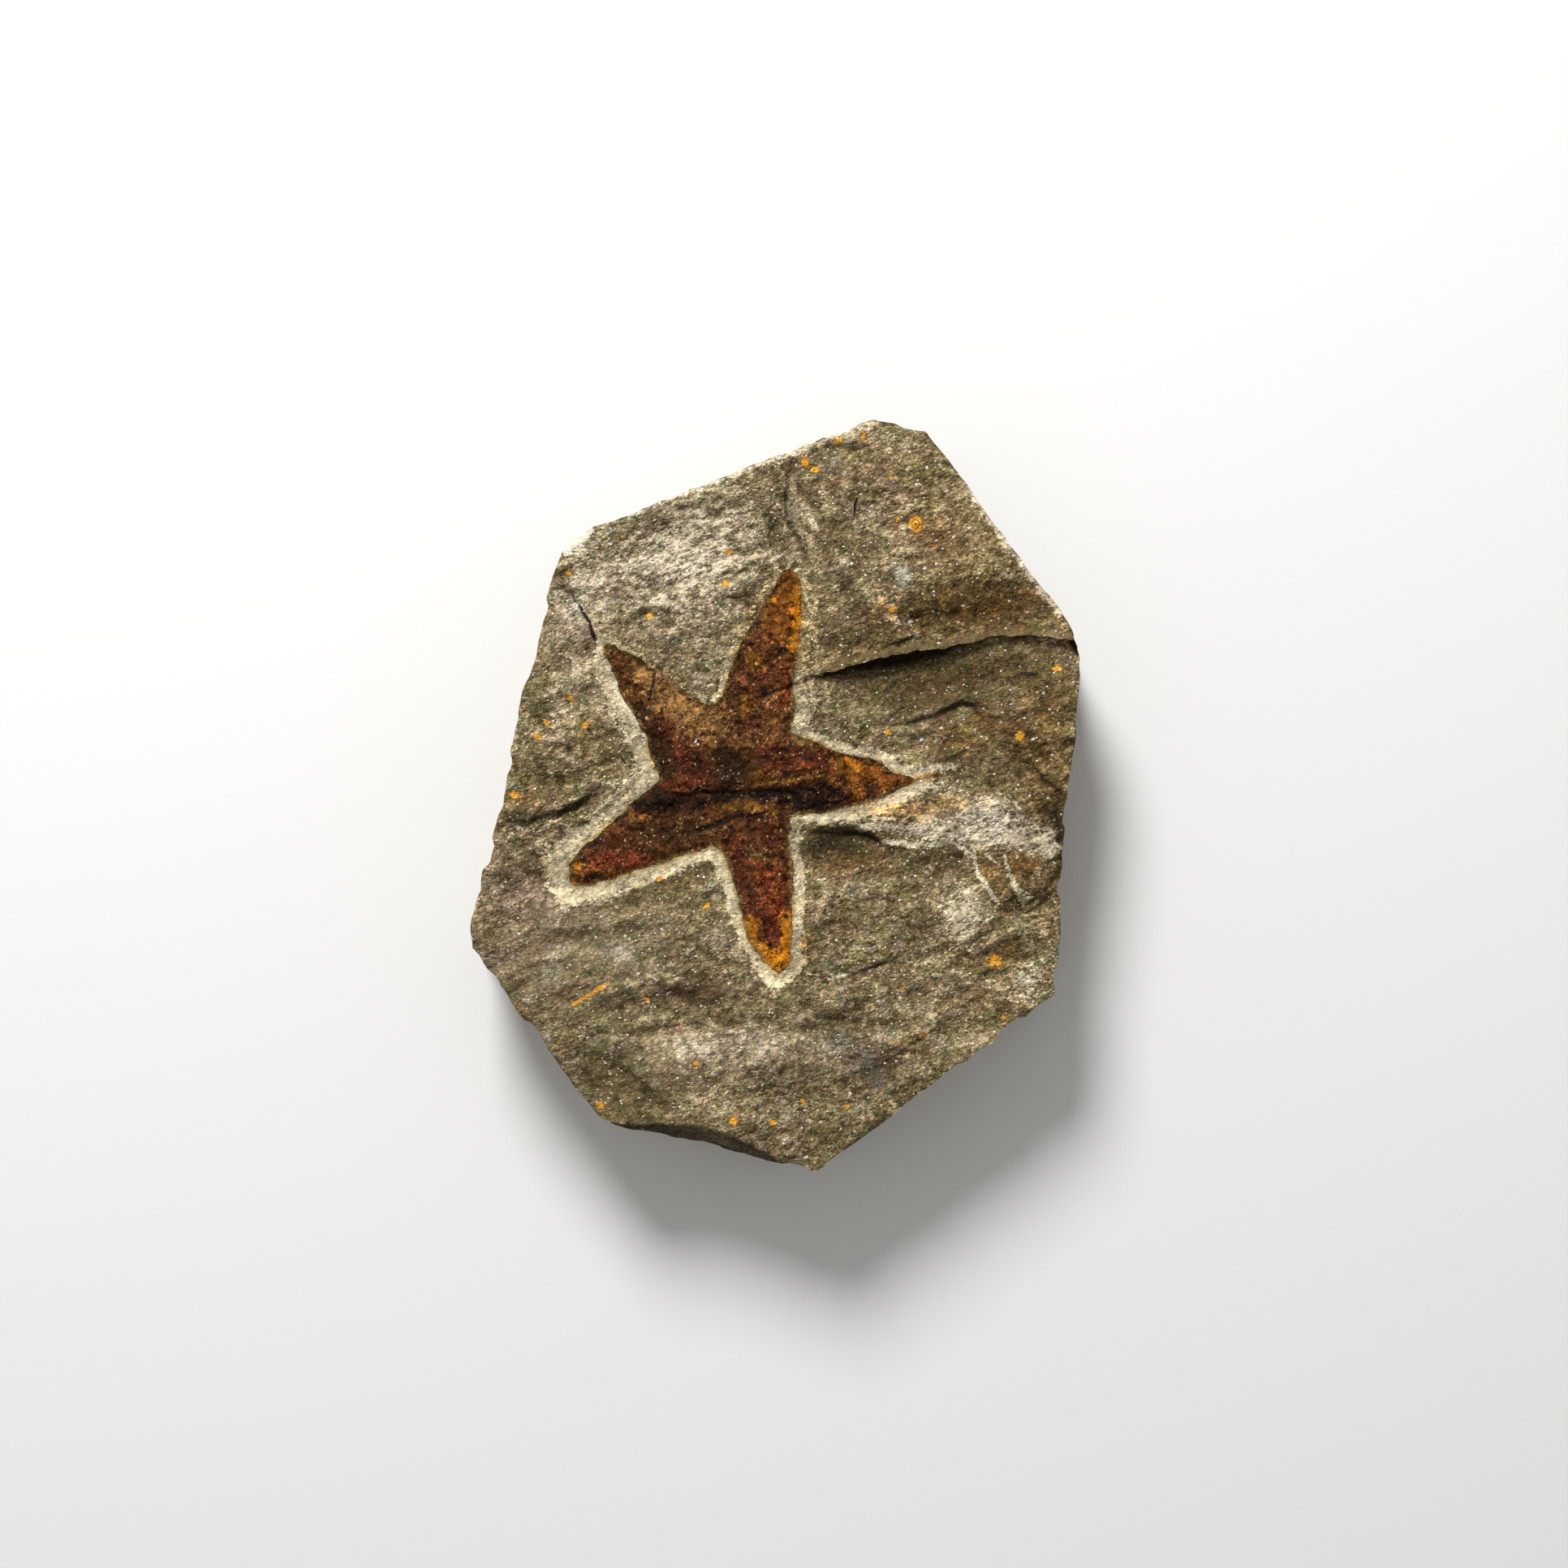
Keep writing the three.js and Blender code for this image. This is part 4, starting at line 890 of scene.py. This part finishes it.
# The face's own tone with its painted light and shade.
area_light = doubled(tree, times(tree, mark(tree, "pallor"), 1.9))
both_light = math_node(tree, "MINIMUM", times(tree, doubled(tree, light), area_light), 3.4)
greener = stepped(tree, cloudy(tree, place, 2.2, 2), 0.42, 0.66)
stone_hue = blended(tree, greener, SAND, OLIVE_SAND)
pinker = times(tree, stepped(tree, cloudy(tree, place, 3.1), 0.52, 0.72), 0.45)
pinker = math_node(tree, "MULTIPLY_ADD", mark(tree, "violet"), 0.7, pinker, clamp=True)
bloom = times(tree, stepped(tree, cloudy(tree, place, 2.8, 4, 0.6), 0.5, 0.68), 0.4)
greyed = times(tree, mark(tree, "greyed"), 0.8)
for share, tint in ((pinker, PINK_SAND), (bloom, PALE_BLOOM), (greyed, GREY_SAND),
                    (mark(tree, "golden"), GOLDEN_SAND), (mark(tree, "slate"), SLATE)):
    stone_hue = blended(tree, share, stone_hue, tint)
stone_hue = blended(tree, 1.0, stone_hue, sand["Cast"], "MULTIPLY")
body = lit(tree, stone_hue, both_light)
body = blended(tree, stepped(tree, both_light, 1.1, 0.15), body, WARM_SHADE, "MULTIPLY")
body = blended(tree, times(tree, stepped(tree, both_light, 1.3, 3.4), 0.6), body, LIGHTEST_SAND)

# Where it was scraped it is pale and peppered, and olive where the scraping met the fossil.
ragged = tones(tree, (middling, 0.9), (chips["Tint"], 0.35), (sand["Tint"], 0.45))
scraped = ragged_mark(tree, "scraped", times(tree, ragged, 0.7), 0.0, 0.16)
broken = plus(tree, times(tree, sand["Tint"], 0.6), times(tree, chips["Tint"], 0.4))
broken = stepped(tree, broken, 0.64, 0.38)
thin = plus(tree, times(tree, mark(tree, "dulled"), plus(tree, times(tree, broken, 1.3), 0.35)),
            times(tree, stepped(tree, cloudy(tree, place, 0.9, 4, 0.7), 0.5, 0.7), 0.4))
scraped = times(tree, scraped, math_node(tree, "SUBTRACT", 0.96, thin, clamp=True))
band_light = plus(tree, times(tree, light, 0.7), tones(tree, (cloudy(tree, place, 1.6, 2, 0.5), 2.0)))
pale_light = times(tree, doubled(tree, band_light), doubled(tree, times(tree, mark(tree, "pallor"), 1.1)))
pale_stone = blended(tree, mark(tree, "golden"), lit(tree, SCRAPED_SAND, pale_light),
                     lit(tree, SCRAPED_GOLDEN, pale_light))
peppered = stepped(tree, plus(tree, sand["Tint"], times(tree, middling, 0.5)), 0.5, 0.36)
pale_stone = blended(tree, times(tree, peppered, 0.7), pale_stone, PEPPER)
body = blended(tree, scraped, body, pale_stone)
touching = times(tree, ragged_mark(tree, "contact", times(tree, ragged, 1.6), 0.25, 1.1), 0.8)
body = blended(tree, touching, body, lit(tree, OLIVE_CONTACT, doubled(tree, times(tree, light, 1.1))))

# Powder of the scraping, cream veins, and iron that stained the stone brown or grew as orange spots.
chalky_light = doubled(tree, times(tree, light, 0.72))
powdered = times(tree, ragged_mark(tree, "powder", times(tree, ragged, 2.2), -0.1, 0.9), 0.85)
body = blended(tree, powdered, body, lit(tree, POWDER, chalky_light))
stained = times(tree, ragged_mark(tree, "stain", times(tree, ragged, 1.2), 0.15, 0.8), 0.9)
body = blended(tree, stained, body, IRON_STAIN, "MULTIPLY")
veined = times(tree, ragged_mark(tree, "vein", times(tree, ragged, 1.8), -0.1, 0.6), 0.85)
body = blended(tree, veined, body, lit(tree, CREAM, chalky_light))
# The white chip: partly its own pale colour, partly a painted highlight.
chip_and_highlight = times(tree, ragged_mark(tree, "white_chip_and_highlight", times(tree, ragged, 0.9), -0.1, 0.2), 0.95)
body = blended(tree, chip_and_highlight, body, lit(tree, CHIP_WHITE_AND_HIGHLIGHT, doubled(tree, times(tree, light, 0.3))))
ring = mark(tree, "ring")
rust_fringe = math_node(tree, "MULTIPLY_ADD", stepped(tree, ring, -0.6, -0.1), -0.85, 1.0)
rust_at = plus(tree, mark(tree, "rust"), times(tree, ragged, rust_fringe))
rust_colour = blended(tree, sand["Tint"], RUST_ORANGE, RUST_YELLOW)
rust_colour = blended(tree, stepped(tree, rust_at, 0.25, 0.0), rust_colour, RUST_EDGE)
body = blended(tree, times(tree, stepped(tree, rust_at, -0.15, 0.05), 0.92), body, rust_colour)
ring_line = times(tree, stepped(tree, ring, 0.36, 0.44), stepped(tree, ring, 0.6, 0.5))
ring_line = math_node(tree, "MAXIMUM", times(tree, ring_line, 0.75), stepped(tree, ring, 0.72, 0.85))
body = blended(tree, ring_line, body, RUST_RING)
# Painted shade under the ledge, on the chip at the bottom edge, in the valley, in edge breaks and below the
# small steps.
body = blended(tree, mark(tree, "painted_shade"), body, PAINTED_SHADE_TINT, "MULTIPLY")
# Painted shade, near black, in the openings of the cracks.
crack_shading = times(tree, ragged_mark(tree, "painted_crack_shade", times(tree, ragged, 1.6), 0.0, 0.6), 0.95)
body = blended(tree, crack_shading, body, CRACK_SHADE_BLACK)
# Painted highlights of mica glints, dimmer where the stone is darker and in the painted shade.
in_light = math_node(tree, "MULTIPLY_ADD", mark(tree, "pallor"), 0.6, 1.0, clamp=True)
painted_glints = times(tree, times(tree, sand["PaintedGlint"], in_light), rest_of(tree, mark(tree, "painted_shade")))
body = blended(tree, painted_glints, body, PAINTED_MICA_GLINT)
tree.links.new(body, shader.inputs["Base Color"])
tree.links.new(math_node(tree, "MULTIPLY_ADD", painted_glints, -0.2, 0.9), shader.inputs["Roughness"])
relief = plus(tree, times(tree, sand["Bead"], 0.5), times(tree, middling, 1.0))
relief = plus(tree, relief, plus(tree, times(tree, chips["Tilt"], 2.2), times(tree, sand["Tilt"], 2.0)))
smoothed = math_node(tree, "MAXIMUM", mark(tree, "calm"), times(tree, scraped, 0.45))
relief = math_node(tree, "SUBTRACT", relief, 0.8)
relief = times(tree, relief, math_node(tree, "MULTIPLY_ADD", smoothed, -0.9, 1.0))
bump = node(tree, "ShaderNodeBump", {"Height": relief, "Distance": BUMP_DEPTH, "Strength": 0.95})
tree.links.new(bump.outputs["Normal"], shader.inputs["Normal"])
shader.inputs["Specular IOR Level"].default_value = 0.15

slab_mesh.materials.append(matrix_stone)
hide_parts("matrix_slab")
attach(stone_slab, "root")


# ---- The fossil starfish ----
# The animal's body, turned to sugary red and orange iron mineral. It has five arms and a disc, is
# grown fast to the stone, and lies a little below the scraped edge round it.
STAR_STEP = 0.12
SKIRT_DEPTH, SKIRT_ROWS = 1.8, 3
FRINGE, FRINGE_DROP = 0.2, 0.05
SUNK_BELOW_EDGE = 0.14
ARM_CROWN = 0.5
ARM_SHOULDER = 1.8  # how far in from its edge an arm reaches its full height
HOLLOW_DEPTH = 0.28
ARM_HOLLOW = [  # the sunken stretch from the disc into the right arm
    (-3.1, 0), (-1.4, 0.8), (1.7, 1.2), (5.2, 1.4), (7.2, 0.6), (7.8, -0.6), (5.6, -1.9), (3.8, -2.1),
    (0.6, -1.6), (-2.6, -0.6),
]
DISC_STEP = [  # the low step across the disc: x, y, drop
    (-14, 0.2, 0.2), (-8.8, 0.6, 0.5), (-2.1, 0.9, 0.5), (0, 1, 0.1), (7.4, 1.2, 0),
]

low, high = np.min(STAR_OUTLINE, axis=0)[:2] - 0.3, np.max(STAR_OUTLINE, axis=0)[:2] + 0.3
span, middle = high - low, (low + high) / 2
star = bmesh.new()
columns, rows = round(span[0] / STAR_STEP), round(span[1] / STAR_STEP)
bmesh.ops.create_grid(star, x_segments=columns, y_segments=rows, size=0.5)
bmesh.ops.scale(star, vec=(*span, 1), verts=star.verts)
bmesh.ops.translate(star, vec=(*middle, 0), verts=star.verts)
face_middles = np.array([face.calc_center_median() for face in star.faces])
inside, _ = nearest(STAR_OUTLINE, face_middles, closed=True)
outer_faces = [face for face, depth in zip(star.faces, inside) if depth < 0.02]
bmesh.ops.delete(star, geom=outer_faces, context="FACES")
edge_points = [v for v in star.verts if v.is_boundary]
on_edge = np.array([v.co for v in edge_points])
draw_onto(on_edge, pocket_edge, 1.0, closed=True)
for v, place_on in zip(edge_points, on_edge):
    v.co = place_on
rim = [edge for edge in star.edges if edge.is_boundary]
_, rim = hung_from(star, rim, SKIRT_ROWS, SKIRT_DEPTH / SKIRT_ROWS)
bmesh.ops.triangulate(star, faces=bmesh.ops.contextual_create(star, geom=rim)["faces"])
bmesh.ops.recalc_face_normals(star, faces=star.faces)
star_mesh = bpy.data.meshes.new("fossil_starfish")
star.to_mesh(star_mesh)
star.free()

star_places = mesh_places(star_mesh)
depth_down = star_places[:, 2].copy()
flat = star_places * (1, 1, 0)
star_in, _ = nearest(STAR_OUTLINE, flat, closed=True)
shoulder = np.clip(star_in / ARM_SHOULDER, 0, 1)
adrift = flat.copy()  # moved a little, so that what is drawn there wanders
adrift[:, 1] += 0.45 * lumps(flat, 2.6, 45) + 0.2 * lumps(flat, 1.1, 46)
hollow_in, _ = nearest(ARM_HOLLOW, adrift, closed=True)
star_top = with_bedding(np.full(len(flat), FACE_HEIGHT - MOAT_DEPTH - SUNK_BELOW_EDGE), flat)
star_top += ARM_CROWN * (1 - (1 - shoulder) ** 2)
star_top -= HOLLOW_DEPTH * smooth(-0.4, 1.2, hollow_in)
star_top -= fall_below((DISC_STEP, 0.5, 3), adrift) * (0.8 + 0.7 * lumps(flat, 2.2, 47))
star_relief = 0.3 * lumps(flat, 2.2, 41) + 0.24 * lumps(flat, 1.1, 42)
star_relief += 0.14 * lumps(flat, 0.55, 43) + 0.08 * lumps(flat, 0.3, 44)
star_top += smooth(0, 0.8, star_in) * star_relief
# Its edge is level with the stone, and a thin fringe of it runs on under the stone's grains.
stone_level, _ = face_height(flat)
by_edge = 1 - smooth(0, 0.9, star_in)
star_top += by_edge * (stone_level - 0.02 - star_top)
row = np.round(-depth_down / SKIRT_DEPTH * SKIRT_ROWS).astype(int)
star_places[:, 2] = star_top + np.where(row == 1, -FRINGE_DROP, depth_down)
leaning = inward_from(STAR_OUTLINE, flat)
star_places += leaning * np.choose(row, [0, -FRINGE, -FRINGE, 0.05])[:, None]
star_places = weathered(star_places)
star_mesh.vertices.foreach_set("co", (star_places * MM).ravel())
shade(star_mesh, 60)
star_mesh.update()
starfish = put_in_scene("fossil_starfish", star_mesh)

# Where each colour of the mineral lies, as strokes and spots like the stone's.
STAR_ZONES = {
    "orange": (
        [([(1.4, 23.8), (0.9, 21), (0.5, 17.6)], 1.9), ([(4.6, 5.2), (8, 4)], 0.5),
         ([(8.6, 2.4), (12, 1.8), (14.6, 1.6)], 1.3), ([(7.6, 3.6), (8.6, 0.4)], 0.8),
         ([(-2.9, -13.5), (-1.9, -15.9), (-0.8, -17.9)], 0.9),
         ([(1.4, -13.2), (1.1, -16), (0.3, -18)], 0.8),
         ([(-21.6, -9.3), (-20.6, -9.5), (-19.8, -9.4)], 0.5)],
        [(-0.2, -17.6, 1.8, 1.7, 0), (-21.1, -7.5, 0.8, 0.7, 0), (-17.9, -8.5, 0.6, 0.45, 0),
         (-15, -2, 1.6, 0.8, -30)]),
    "gold": (
        [([(2.1, 21.6), (2.2, 17.6), (1.8, 16)], 0.6), ([(-3.2, -13.8), (-2.3, -15.8), (-1, -17.6)], 0.6),
         ([(1.4, -13.4), (1.2, -15.6), (0.8, -18)], 0.7), ([(7.4, 3.6), (8.6, 2.8)], 0.3)],
        [(-0.5, 20.6, 0.4, 0.35, 0), (0.2, -17.6, 1.2, 1.1, 0), (-21.1, -7.5, 0.5, 0.4, 0)]),
    "mustard": (
        [([(-6.4, -1.5), (-3.2, -1.4), (0, -2)], 0.35),
         ([(-1.6, 1.2, 0.5), (1.7, 1.6, 1), (5.2, 1.8, 1), (7.3, 1, 0.6)], 0.28),
         ([(1.6, -3), (1.5, -8)], 0.35), ([(6.6, 3.7), (8.2, 1.4)], 0.7)],
        [(-1.9, 1.9, 1.5, 1.1, 0), (-3.4, 9.6, 1.2, 1, 0), (-2.4, 14.2, 1.4, 1, 0)]),
    "brick": (
        [([(-19.4, -6.7), (-16.4, -6.6), (-14.4, -6.8)], 1.1),
         ([(-1, -8.4), (-0.4, -10), (0.2, -12.6), (0, -14)], 1.5),
         ([(-12.8, 0.9), (-10, 1.3), (-8, 1.6)], 0.4), ([(1, 13.2), (0.9, 9.8)], 0.5),
         ([(-1, 3.2), (2.6, 3.3), (6, 2.9)], 0.5)],
        [(-7.6, 2.1, 0.6, 0.4, 0)]),
    "tan": (
        [([(-12.8, 12), (-10, 9.4), (-7.2, 7.4)], 2.5), ([(-12.7, 12.8), (-11.2, 11.9)], 0.6),
         ([(1.6, 5.9), (4.4, 5.3)], 0.35), ([(-3.2, -5.6), (-0.4, -6.8)], 0.4)],
        [(-7.4, 7, 2.2, 1.8, 0), (-15, -2.2, 1.6, 0.9, -30), (-6.5, -3.4, 2, 0.6, 20),
         (-14.4, -5.2, 0.3, 0.6, 10)]),
    "pink": (
        [([(-12.7, 12.9, 1), (-11.4, 12, 0.7), (-10.4, 11.2, 0.2)], 0.45)], []),
    "maroon": (
        [([(-4.2, -5.6), (-3.9, -8.6)], 1.2), ([(-1.4, -12.6), (-1, -14.4), (-0.6, -16)], 1.25),
         ([(-2.8, -10), (-2.4, -12.6)], 0.7), ([(-1.6, 4.6), (2.4, 4.6), (5.4, 3.9)], 0.5),
         ([(-12.6, 7), (-10.4, 4.6), (-8.4, 2.4)], 1.6)],
        [(-2, 13.6, 2.2, 2.4, 0), (-0.6, -14.4, 1.2, 1, 0), (-1, -4.4, 1.8, 1.2, 0),
         (-17, -4.6, 1.6, 0.8, 30)]),
    "dusky": (
        [([(-5.4, 3.8), (-4.4, 1.6)], 2.2), ([(-14.6, 8.2), (-12.8, 5.2), (-12.2, 2.4)], 1.2)],
        [(-11, -4.3, 3, 1.6, 10)]),
    # Darkest: dark mottles and a thin dark line, and painted shadow below the step across the disc.
    "dark": (
        [([(-14.9, -0.8), (-11, -1), (-8, -1)], 1.1), ([(-8, -0.8), (-5, -0.3), (-3, 0.2)], 0.6),
         ([(-8.8, 0.6), (-8.2, 1), (-7.2, 1.2)], 0.25),
         ([(-8.4, -3.5, 0.5), (-6.4, -3, 1), (-4, -2.3, 1.2), (-1, -1.9, 0.4)], 0.34),
         ([(-9, 0.8, 0.4), (-7.4, 0.5, 1), (-5.6, 0.2, 0.5)], 0.34),
         ([(-4.6, -0.2, 0.6), (-3, 0.1, 1), (-1.6, -0.2, 0.5)], 0.5),
         ([(-12.9, 13.1, 0.6), (-13.1, 11.6, 1), (-13.6, 9.8, 0.5)], 0.16)],
        [(0.8, 15.2, 0.5, 0.4, 0), (-1.4, 11, 0.6, 0.5, 0), (-1.9, -15.3, 0.3, 0.25, 0),
         (-0.6, -15.9, 0.35, 0.25, 0), (1, -12.9, 0.3, 0.25, 0), (-19.1, -8.5, 0.6, 0.45, 10),
         (-20.6, -6.8, 0.7, 0.4, 50), (-19.3, -5.2, 0.7, 0.4, 20)]),
}
# Ovals, as on the stone: x, y, radius across, radius along, turn, strength.
STAR_LIGHT = [
    (-9.4, 9.4, 4.6, 3, -38, 0.52), (-0.2, -17.2, 1.6, 2, 0, 0.5), (-0.6, -10.4, 2, 3.4, 0, 0.35),
    (0.2, 11.6, 2.4, 4.6, 0, 0.37),
]
STAR_DARK = [
    (4, 3.9, 4, 1.3, -12, 0.5), (0.8, 20.6, 2, 4, 0, 0.35), (-4.4, 2.4, 2.6, 2.6, 0, 0.25),
    (-16.6, 13.8, 2, 2.6, -35, 0.35), (-10, 2.4, 3.2, 1.5, 8, 0.5),
]
# Painted shadow below the low step across the disc and in the right arm's hollow.
STEP_SHADOW = [  # the blackest stretches of the step
    (4.2, -1.2, 2.2, 0.9, 4, 1), (-11.4, -0.9, 3.8, 0.95, -3, 1), (0.4, 0.4, 2.6, 0.5, 6, 0.6),
]
GRIT = [  # grains of pale stone left on the disc, as spots
    (-8.6, 5.75, 0.3, 0.22, 50), (-8.3, 5.35, 0.26, 0.2, -20), (-6.5, 5.65, 0.16, 0.14, 0),
]
zones = {name: np.maximum(stroke_field(adrift, strokes), spot_field(flat, spots))
         for name, (strokes, spots) in STAR_ZONES.items()}
zones["dusky"] *= 0.75
# The hollow into the right arm takes the darkest colour: painted shade in the hollow.
zones["dark"] = np.maximum(zones["dark"], np.clip(hollow_in / 0.7, OUTSIDE, 0.9))
for name, field in zones.items():
    paint(star_mesh, name, field)
# How proud each place stands; the shader turns it into painted light on raised places and painted shade in
# hollows.
paint(star_mesh, "proud", np.clip(star_relief / 0.3, -1, 1))
paint(star_mesh, "pallor", patches(star_places, *STAR_LIGHT) - patches(star_places, *STAR_DARK))
paint(star_mesh, "step_shadow", patches(star_places, *STEP_SHADOW))
paint(star_mesh, "grit", spot_field(flat, GRIT))
paint(star_mesh, "contact", np.clip(1 - star_in / 0.75, 0, 1))
away_from_light = np.clip(0.35 * leaning[:, 0] - 0.94 * leaning[:, 1], 0, 1)
paint(star_mesh, "shaded", away_from_light * np.exp(-(star_in / 0.5) ** 2))

BROWN, OCHRE_BROWN = colour(74, 42, 23), colour(96, 60, 28)
ZONE_COLOURS = (  # from the lowest coat to the highest: strength, colour, and how soon it is full
    ("tan", 0.8, colour(124, 93, 52), 0.6), ("brick", 0.8, colour(112, 50, 25), 0.6),
    ("maroon", 0.75, colour(76, 31, 21), 0.6), ("mustard", 0.7, colour(118, 80, 24), 0.6),
    ("orange", 0.85, colour(138, 82, 26), 0.6), ("gold", 0.8, colour(204, 128, 22), 0.35),
    ("pink", 0.8, colour(176, 132, 104), 0.6), ("dusky", 0.85, colour(46, 32, 18), 0.6),
    ("dark", 0.96, colour(26, 14, 9), 0.6),
)
HONEY, OLIVE_RIM = colour(210, 142, 70), colour(112, 92, 52)
PALE_GRIT, WARM_PAINTED_GLINT = colour(212, 202, 196), colour(232, 200, 152)
EDGE_SHADE, STEP_SHADOW_TINT = (0.45, 0.42, 0.4, 1), (0.35, 0.3, 0.3, 1)

fossil_mineral, tree, shader, place = new_material("fossil_iron_mineral")
sugar = grains(tree, place, 0.27)
lumpy = grains(tree, place, 0.65)
patchy = cloudy(tree, place, 2.1, 4, 0.65)
mottled = cloudy(tree, place, 0.8, 3, 0.65)
ragged = tones(tree, (patchy, 2.4), (mottled, 1.8), (lumpy["Tint"], 1.0), (sugar["Tint"], 0.8))


def zone(name, strength, full=0.6):
    return times(tree, ragged_mark(tree, name, ragged, -0.2, full), strength)


hue = blended(tree, stepped(tree, patchy, 0.42, 0.58), BROWN, OCHRE_BROWN)
for name, strength, tint, full in ZONE_COLOURS:
    hue = blended(tree, zone(name, strength, full), hue, tint)
hue = blended(tree, 1.0, hue, sugar["Cast"], "MULTIPLY")
# How light each spot of the fossil is: its grains and mottles, with painted light and shade on the grains'
# rounded tops, on its raised places and in its pits.
star_light = tones(tree, (mottled, 3.2), (lumpy["Tint"], 1.3), (lumpy["Bead"], 0.8), (sugar["Tint"], 2.5))
quiet = math_node(tree, "MAXIMUM", zone("orange", 0.4), zone("gold", 0.6))
star_light = times(tree, star_light, rest_of(tree, quiet))
star_light = plus(tree, star_light, mark(tree, "pallor"))
# Painted light on raised places and painted shade in hollows.
star_light = math_node(tree, "MULTIPLY_ADD", mark(tree, "proud"), 0.7, star_light)
star_light = math_node(tree, "MULTIPLY_ADD", sugar["Pit"], -0.8, star_light)
star_light = math_node(tree, "MINIMUM", doubled(tree, star_light), 3.2)
finish = lit(tree, hue, star_light)
bright_fleck = times(tree, stepped(tree, star_light, 1.3, 3.2), 0.4)
finish = blended(tree, bright_fleck, finish, blended(tree, 0.5, hue, HONEY))
olive = lit(tree, OLIVE_RIM, doubled(tree, tones(tree, (mottled, 3.4), (sugar["Tint"], 2.0))))
meeting = times(tree, ragged_mark(tree, "contact", times(tree, ragged, 0.5), 0.3, 1.2), 0.8)
finish = blended(tree, meeting, finish, olive)
finish = blended(tree, mark(tree, "shaded"), finish, EDGE_SHADE, "MULTIPLY")
gritty = ragged_mark(tree, "grit", times(tree, ragged, 0.6), 0.0, 0.5)
finish = blended(tree, gritty, finish, PALE_GRIT)
# Painted shadow, near black, below the step.
finish = blended(tree, mark(tree, "step_shadow"), finish, STEP_SHADOW_TINT, "MULTIPLY")
# Painted highlights: warm glints of the sugary mineral, in clusters, none in the step's shadow.
in_flecks = stepped(tree, plus(tree, patchy, times(tree, lumpy["Tint"], 0.3)), 0.5, 0.68)
painted_glint_flecks = times(tree, sugar["PaintedGlint"], in_flecks)
painted_glint_flecks = times(tree, painted_glint_flecks, math_node(tree, "SUBTRACT", 0.8, mark(tree, "step_shadow"), clamp=True))
finish = blended(tree, times(tree, painted_glint_flecks, 0.8), finish, WARM_PAINTED_GLINT)
tree.links.new(finish, shader.inputs["Base Color"])
tree.links.new(math_node(tree, "MULTIPLY_ADD", painted_glint_flecks, -0.35, 0.66), shader.inputs["Roughness"])
relief = plus(tree, times(tree, sugar["Bead"], 0.5), times(tree, mottled, 1.3))
relief = plus(tree, relief, plus(tree, times(tree, lumpy["Tilt"], 2.4), times(tree, sugar["Tilt"], 2.4)))
bump = node(tree, "ShaderNodeBump", {"Height": relief, "Strength": 0.8, "Distance": BUMP_DEPTH})
tree.links.new(bump.outputs["Normal"], shader.inputs["Normal"])
shader.inputs["Specular IOR Level"].default_value = 0.08
star_mesh.materials.append(fossil_mineral)
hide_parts("starfish")
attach(starfish, "root")


# ---- Floor, light and camera ----
# A pale sheet under the stone, soft daylight from the upper left, and a camera that looks straight
# down from about 35 cm.
FLOOR_HALF_SIZE, FLOOR_GAP = 2.5, 0.0001  # metres, like every length of this section
SUN_AZIMUTH, SUN_ELEVATION, SUN_REACH = math.radians(108), math.radians(37), 0.6  # from the upper left
VIEW_DISTANCE, VIEW_WIDTH = 0.350, 0.166
VIEW_MIDDLE = (0.00077, 0.00116)
SENSOR_WIDTH = 36

floor_mesh = bpy.data.meshes.new("pale_floor")
sheet = bmesh.new()
bmesh.ops.create_grid(sheet, x_segments=1, y_segments=1, size=FLOOR_HALF_SIZE)
bmesh.ops.translate(sheet, vec=(0, 0, -FLOOR_GAP), verts=sheet.verts)
sheet.to_mesh(floor_mesh)
sheet.free()
pale_floor = put_in_scene("pale_floor", floor_mesh)
pale_paper, tree, shader, place = new_material("pale_paper")
shader.inputs["Base Color"].default_value = (0.86, 0.86, 0.85, 1)
shader.inputs["Roughness"].default_value = 0.9
floor_mesh.materials.append(pale_paper)

daylight = bpy.data.lights.new("daylight", "AREA")
daylight.shape = "DISK"
daylight.size = 0.22
daylight.energy = 4.4
lamp = put_in_scene("daylight", daylight)
level_reach = SUN_REACH * math.cos(SUN_ELEVATION)
lamp.location = (level_reach * math.cos(SUN_AZIMUTH), level_reach * math.sin(SUN_AZIMUTH),
                 SUN_REACH * math.sin(SUN_ELEVATION))
lamp.rotation_euler = (-lamp.location).to_track_quat("-Z", "Y").to_euler()

sky = bpy.data.worlds.new("soft_room")
sky.use_nodes = True
sky.node_tree.nodes["Background"].inputs["Color"].default_value = (1, 0.99, 0.97, 1)
sky.node_tree.nodes["Background"].inputs["Strength"].default_value = 0.36
bpy.context.scene.world = sky
bpy.context.scene.view_settings.view_transform = "Standard"

camera = bpy.data.cameras.new("camera")
camera.sensor_width = SENSOR_WIDTH
camera.lens = SENSOR_WIDTH * VIEW_DISTANCE / VIEW_WIDTH
camera.clip_start = 0.01
camera_object = put_in_scene("camera", camera)
camera_object.location = (*VIEW_MIDDLE, FACE_HEIGHT * MM + VIEW_DISTANCE)
bpy.context.scene.camera = camera_object

bpy.context.view_layer.update()
